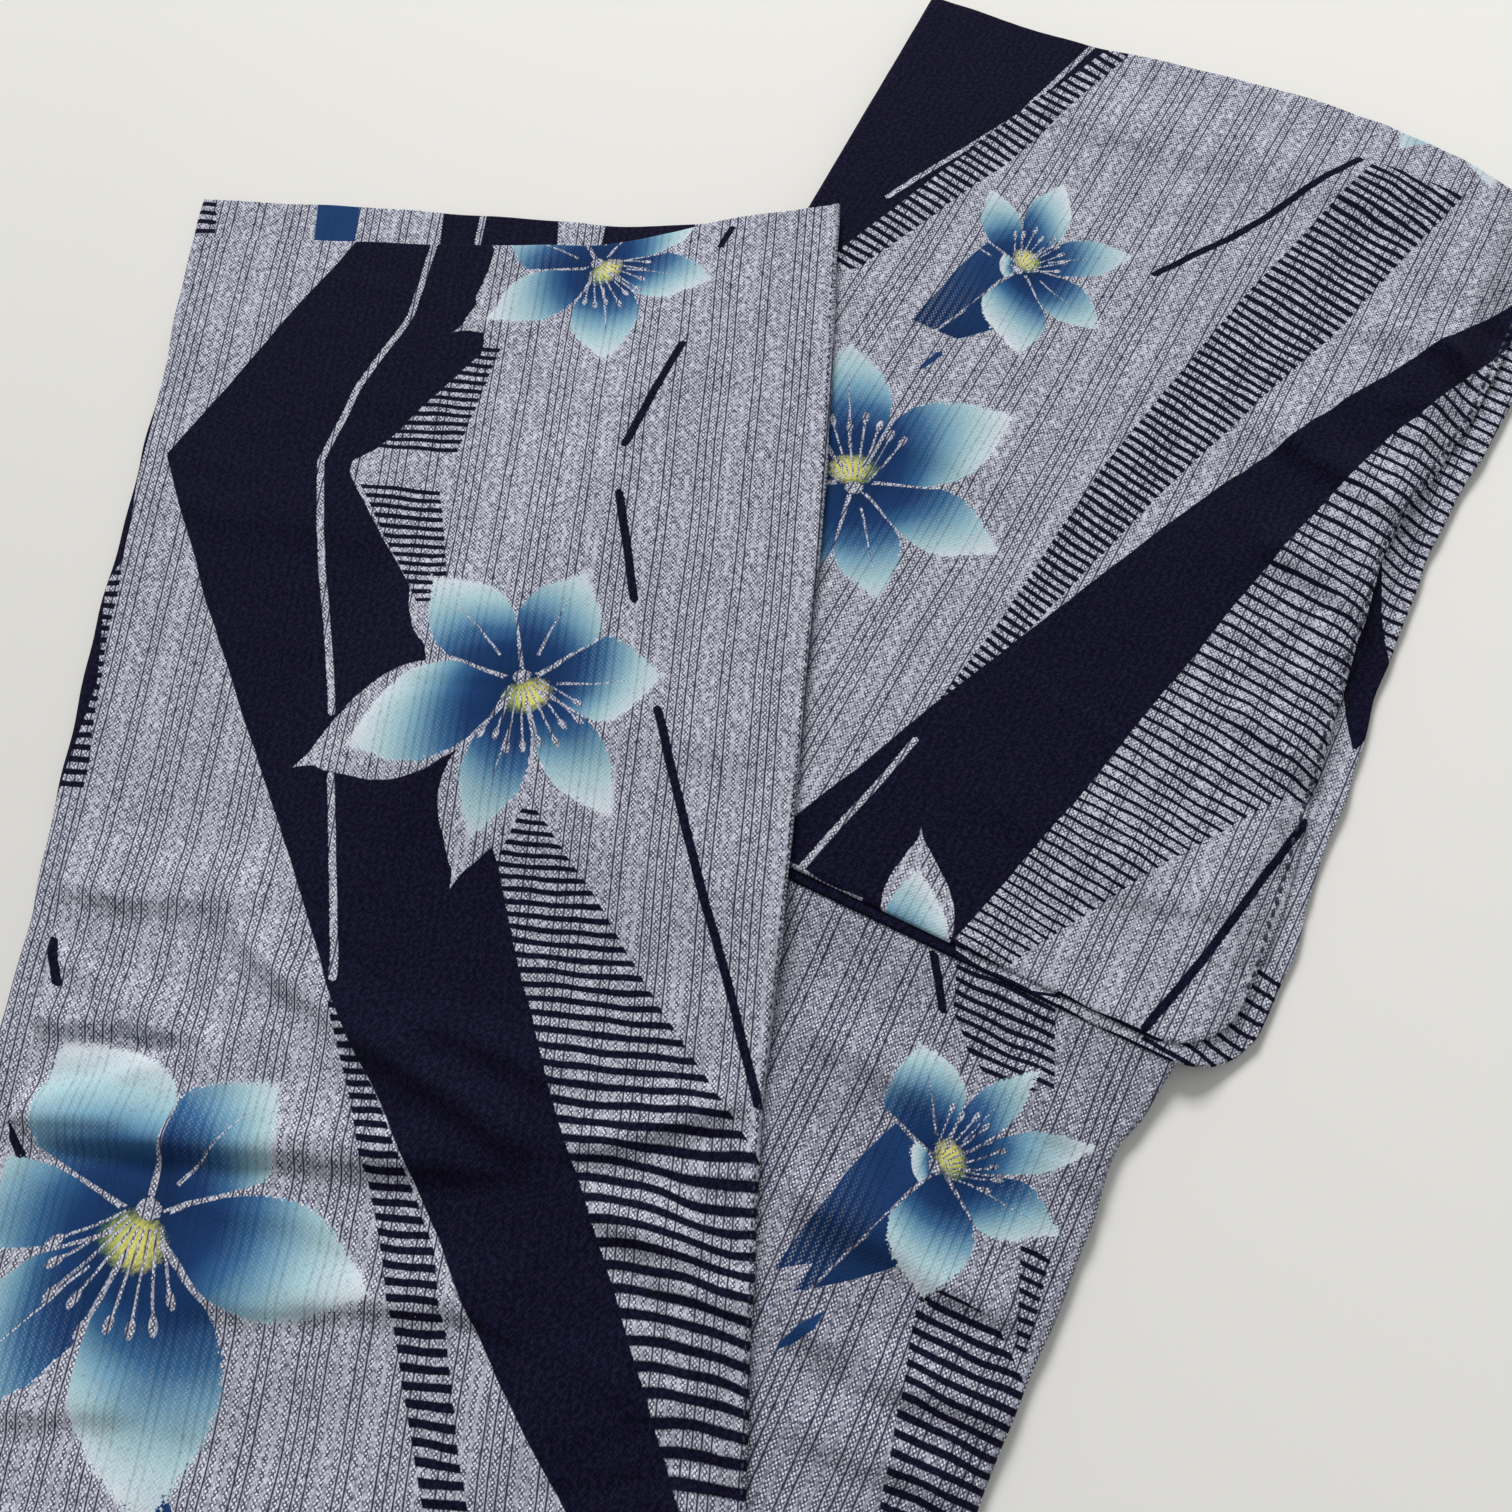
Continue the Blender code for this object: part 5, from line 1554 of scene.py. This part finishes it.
class YUKATA_OT_skirt(bpy.types.Operator):
    """Lay the skirt half: the right back on top, the right front and the layers inside"""
    bl_idname = "yukata.skirt"
    bl_label = "Skirt Half"

    def execute(self, context):
        top = build_skirt_top(print_cloth("yukata_skirt_print", SKIRT_LAYOUT))
        under = build_skirt_under(print_cloth("yukata_front_print", SKIRT_UNDER_LAYOUT))
        core = build_skirt_core(print_cloth("yukata_inner_print", PLAIN_LAYOUT))
        finish_sheet(core, ["folded_layers_skirt"])
        finish_sheet(under, ["front_right_skirt"])
        cloth = context.scene.yukata_cloth
        edge = table_edge(SKIRT_SECTIONS, "panel_right", -0.0017, 0.0005, 0.7)
        seam = sew("skirt_edge_stitches", top, SKIRT, edge, EDGE_REACH, cloth.stitch_pitch,
                   EDGE_STITCH, thread_paint(cloth.thread))
        finish_sheet(top, ["back_right_skirt"])
        return {"FINISHED"}


class YUKATA_OT_shoulder(bpy.types.Operator):
    """Lay the shoulder half: the left back on top, the right back below, the collar and inner layers"""
    bl_idname = "yukata.shoulder"
    bl_label = "Shoulder Half"

    def execute(self, context):
        inner = bpy.data.materials["yukata_inner_print"]
        top = build_body_top(print_cloth("yukata_body_print", BODY_LAYOUT))
        bottom = build_body_bottom(inner)
        core = build_body_core(inner)
        collar = build_collar(inner)
        finish_sheet(bottom, ["back_right_shoulder"])
        finish_sheet(core, ["folded_layers_shoulder"])
        finish_sheet(collar, ["collar"])
        finish_sheet(top, ["back_left_shoulder"])
        return {"FINISHED"}


class YUKATA_OT_sleeves(bpy.types.Operator):
    """Lay the left sleeve's two layers on the body, and the right sleeve under it"""
    bl_idname = "yukata.sleeves"
    bl_label = "Sleeves"

    def execute(self, context):
        inner = bpy.data.materials["yukata_inner_print"]
        front = build_sleeve_front(print_cloth("yukata_sleeve_print", SLEEVE_LAYOUT))
        back = build_sleeve_back(print_cloth("yukata_sleeve_back_print", SLEEVE_BACK_LAYOUT))
        under = build_sleeve_under(inner)
        finish_sheet(under, ["sleeve_right"])
        finish_sheet(back, ["sleeve_left_back"])
        edge = table_edge(CUFF_SECTIONS, "front_cuff", -0.0026, 0.0008, 1.0)
        seam = sew("cuff_stitches", front, SHOULDER, edge, CUFF_REACH,
                   CUFF_PITCH * context.scene.yukata_cloth.stitch_pitch, CUFF_STITCH,
                   bpy.data.materials["yukata_thread"])
        finish_sheet(front, ["sleeve_left_front"])
        return {"FINISHED"}


# The stage. The surface's colour is a little paler to the right, as painted light, and the surface lies
# just below the cloth.
FLOOR_PAINTED_SHADE = (0.765, 0.752, 0.712, 1.0)
FLOOR_PAINTED_LIGHT = (0.905, 0.89, 0.845, 1.0)
FLOOR_SIZE = 6.0
FLOOR_DROP = 0.0002
DAYLIGHT = (0.97, 0.985, 1.0, 1.0)
SOFTBOX_SIZE = (2.3, 1.7)
SOFTBOX_PLACE = (-1.06, 4.61, 3.69)
SOFTBOX_AIM = (0.6, -0.3, 0.0)


class YUKATA_OT_stage(bpy.types.Operator):
    """Set the pale surface, the soft light and the camera"""
    bl_idname = "yukata.stage"
    bl_label = "Stage"

    def execute(self, context):
        values = context.scene.yukata_stage
        bpy.ops.object.select_all(action="DESELECT")
        bpy.ops.mesh.primitive_plane_add(size=FLOOR_SIZE, location=(0.0, 0.0, -FLOOR_DROP))
        floor = context.active_object
        floor.name = "floor"
        bpy.ops.object.transform_apply(location=True, rotation=True, scale=True)
        paint, tree, shader = new_paint("pale_surface")
        rightward, _ = split(tree.nodes.new("ShaderNodeTexCoord").outputs["Object"])
        # Painted light: the surface's colour grows paler to the right.
        painted_light = rightward.scaled(1.25, 0.475, clamp=True)
        plug(mix(painted_light, FLOOR_PAINTED_SHADE, FLOOR_PAINTED_LIGHT), shader.inputs["Base Color"])
        shader.inputs["Roughness"].default_value = 0.7
        floor.data.materials.append(paint)

        world = bpy.data.worlds.new("daylight")
        world.use_nodes = True
        background = world.node_tree.nodes["Background"]
        background.inputs["Color"].default_value = DAYLIGHT
        background.inputs["Strength"].default_value = values.daylight
        context.scene.world = world

        lamp = bpy.data.lights.new("softbox", "AREA")
        lamp.shape = "RECTANGLE"
        lamp.size, lamp.size_y = SOFTBOX_SIZE
        lamp.energy = values.softbox_power
        light = bpy.data.objects.new("softbox", lamp)
        light.location = SOFTBOX_PLACE
        aim = Vector(SOFTBOX_AIM) - light.location
        light.rotation_euler = aim.to_track_quat("-Z", "Y").to_euler()
        context.collection.objects.link(light)

        lens = bpy.data.cameras.new("camera")
        lens.sensor_width = 36.0
        lens.lens = values.lens
        lens.clip_start = 0.01
        camera = bpy.data.objects.new("camera", lens)
        camera.location = (-OFFSET_X, -OFFSET_Y, values.camera_height)
        camera.rotation_euler = (values.camera_tilt, 0.0, 0.0)
        context.collection.objects.link(camera)
        context.scene.camera = camera
        context.scene.view_settings.view_transform = "Standard"
        return {"FINISHED"}


class YUKATA_PT_panel(bpy.types.Panel):
    """Builds the folded yukata piece by piece"""
    bl_label = "Folded Yukata"
    bl_idname = "YUKATA_PT_panel"
    bl_space_type = "VIEW_3D"
    bl_region_type = "UI"
    bl_category = "Yukata"

    def draw(self, context):
        for group in (context.scene.yukata_cloth, context.scene.yukata_stage):
            for field in group.bl_rna.properties:
                if field.identifier not in {"rna_type", "name"}:
                    self.layout.prop(group, field.identifier)
        for operator in OPERATORS:
            self.layout.operator(operator.bl_idname)


OPERATORS = (YUKATA_OT_skirt, YUKATA_OT_shoulder, YUKATA_OT_sleeves, YUKATA_OT_stage)
CLASSES = (YukataCloth, YukataStage, *OPERATORS, YUKATA_PT_panel)


def register():
    for item in CLASSES:
        bpy.utils.register_class(item)
    bpy.types.Scene.yukata_cloth = bpy.props.PointerProperty(type=YukataCloth)
    bpy.types.Scene.yukata_stage = bpy.props.PointerProperty(type=YukataStage)


def unregister():
    del bpy.types.Scene.yukata_stage
    del bpy.types.Scene.yukata_cloth
    for item in reversed(CLASSES):
        bpy.utils.unregister_class(item)


def main():
    register()
    bpy.ops.yukata.skirt()
    bpy.ops.yukata.shoulder()
    bpy.ops.yukata.sleeves()
    bpy.ops.yukata.stage()


if __name__ == "__main__":
    main()
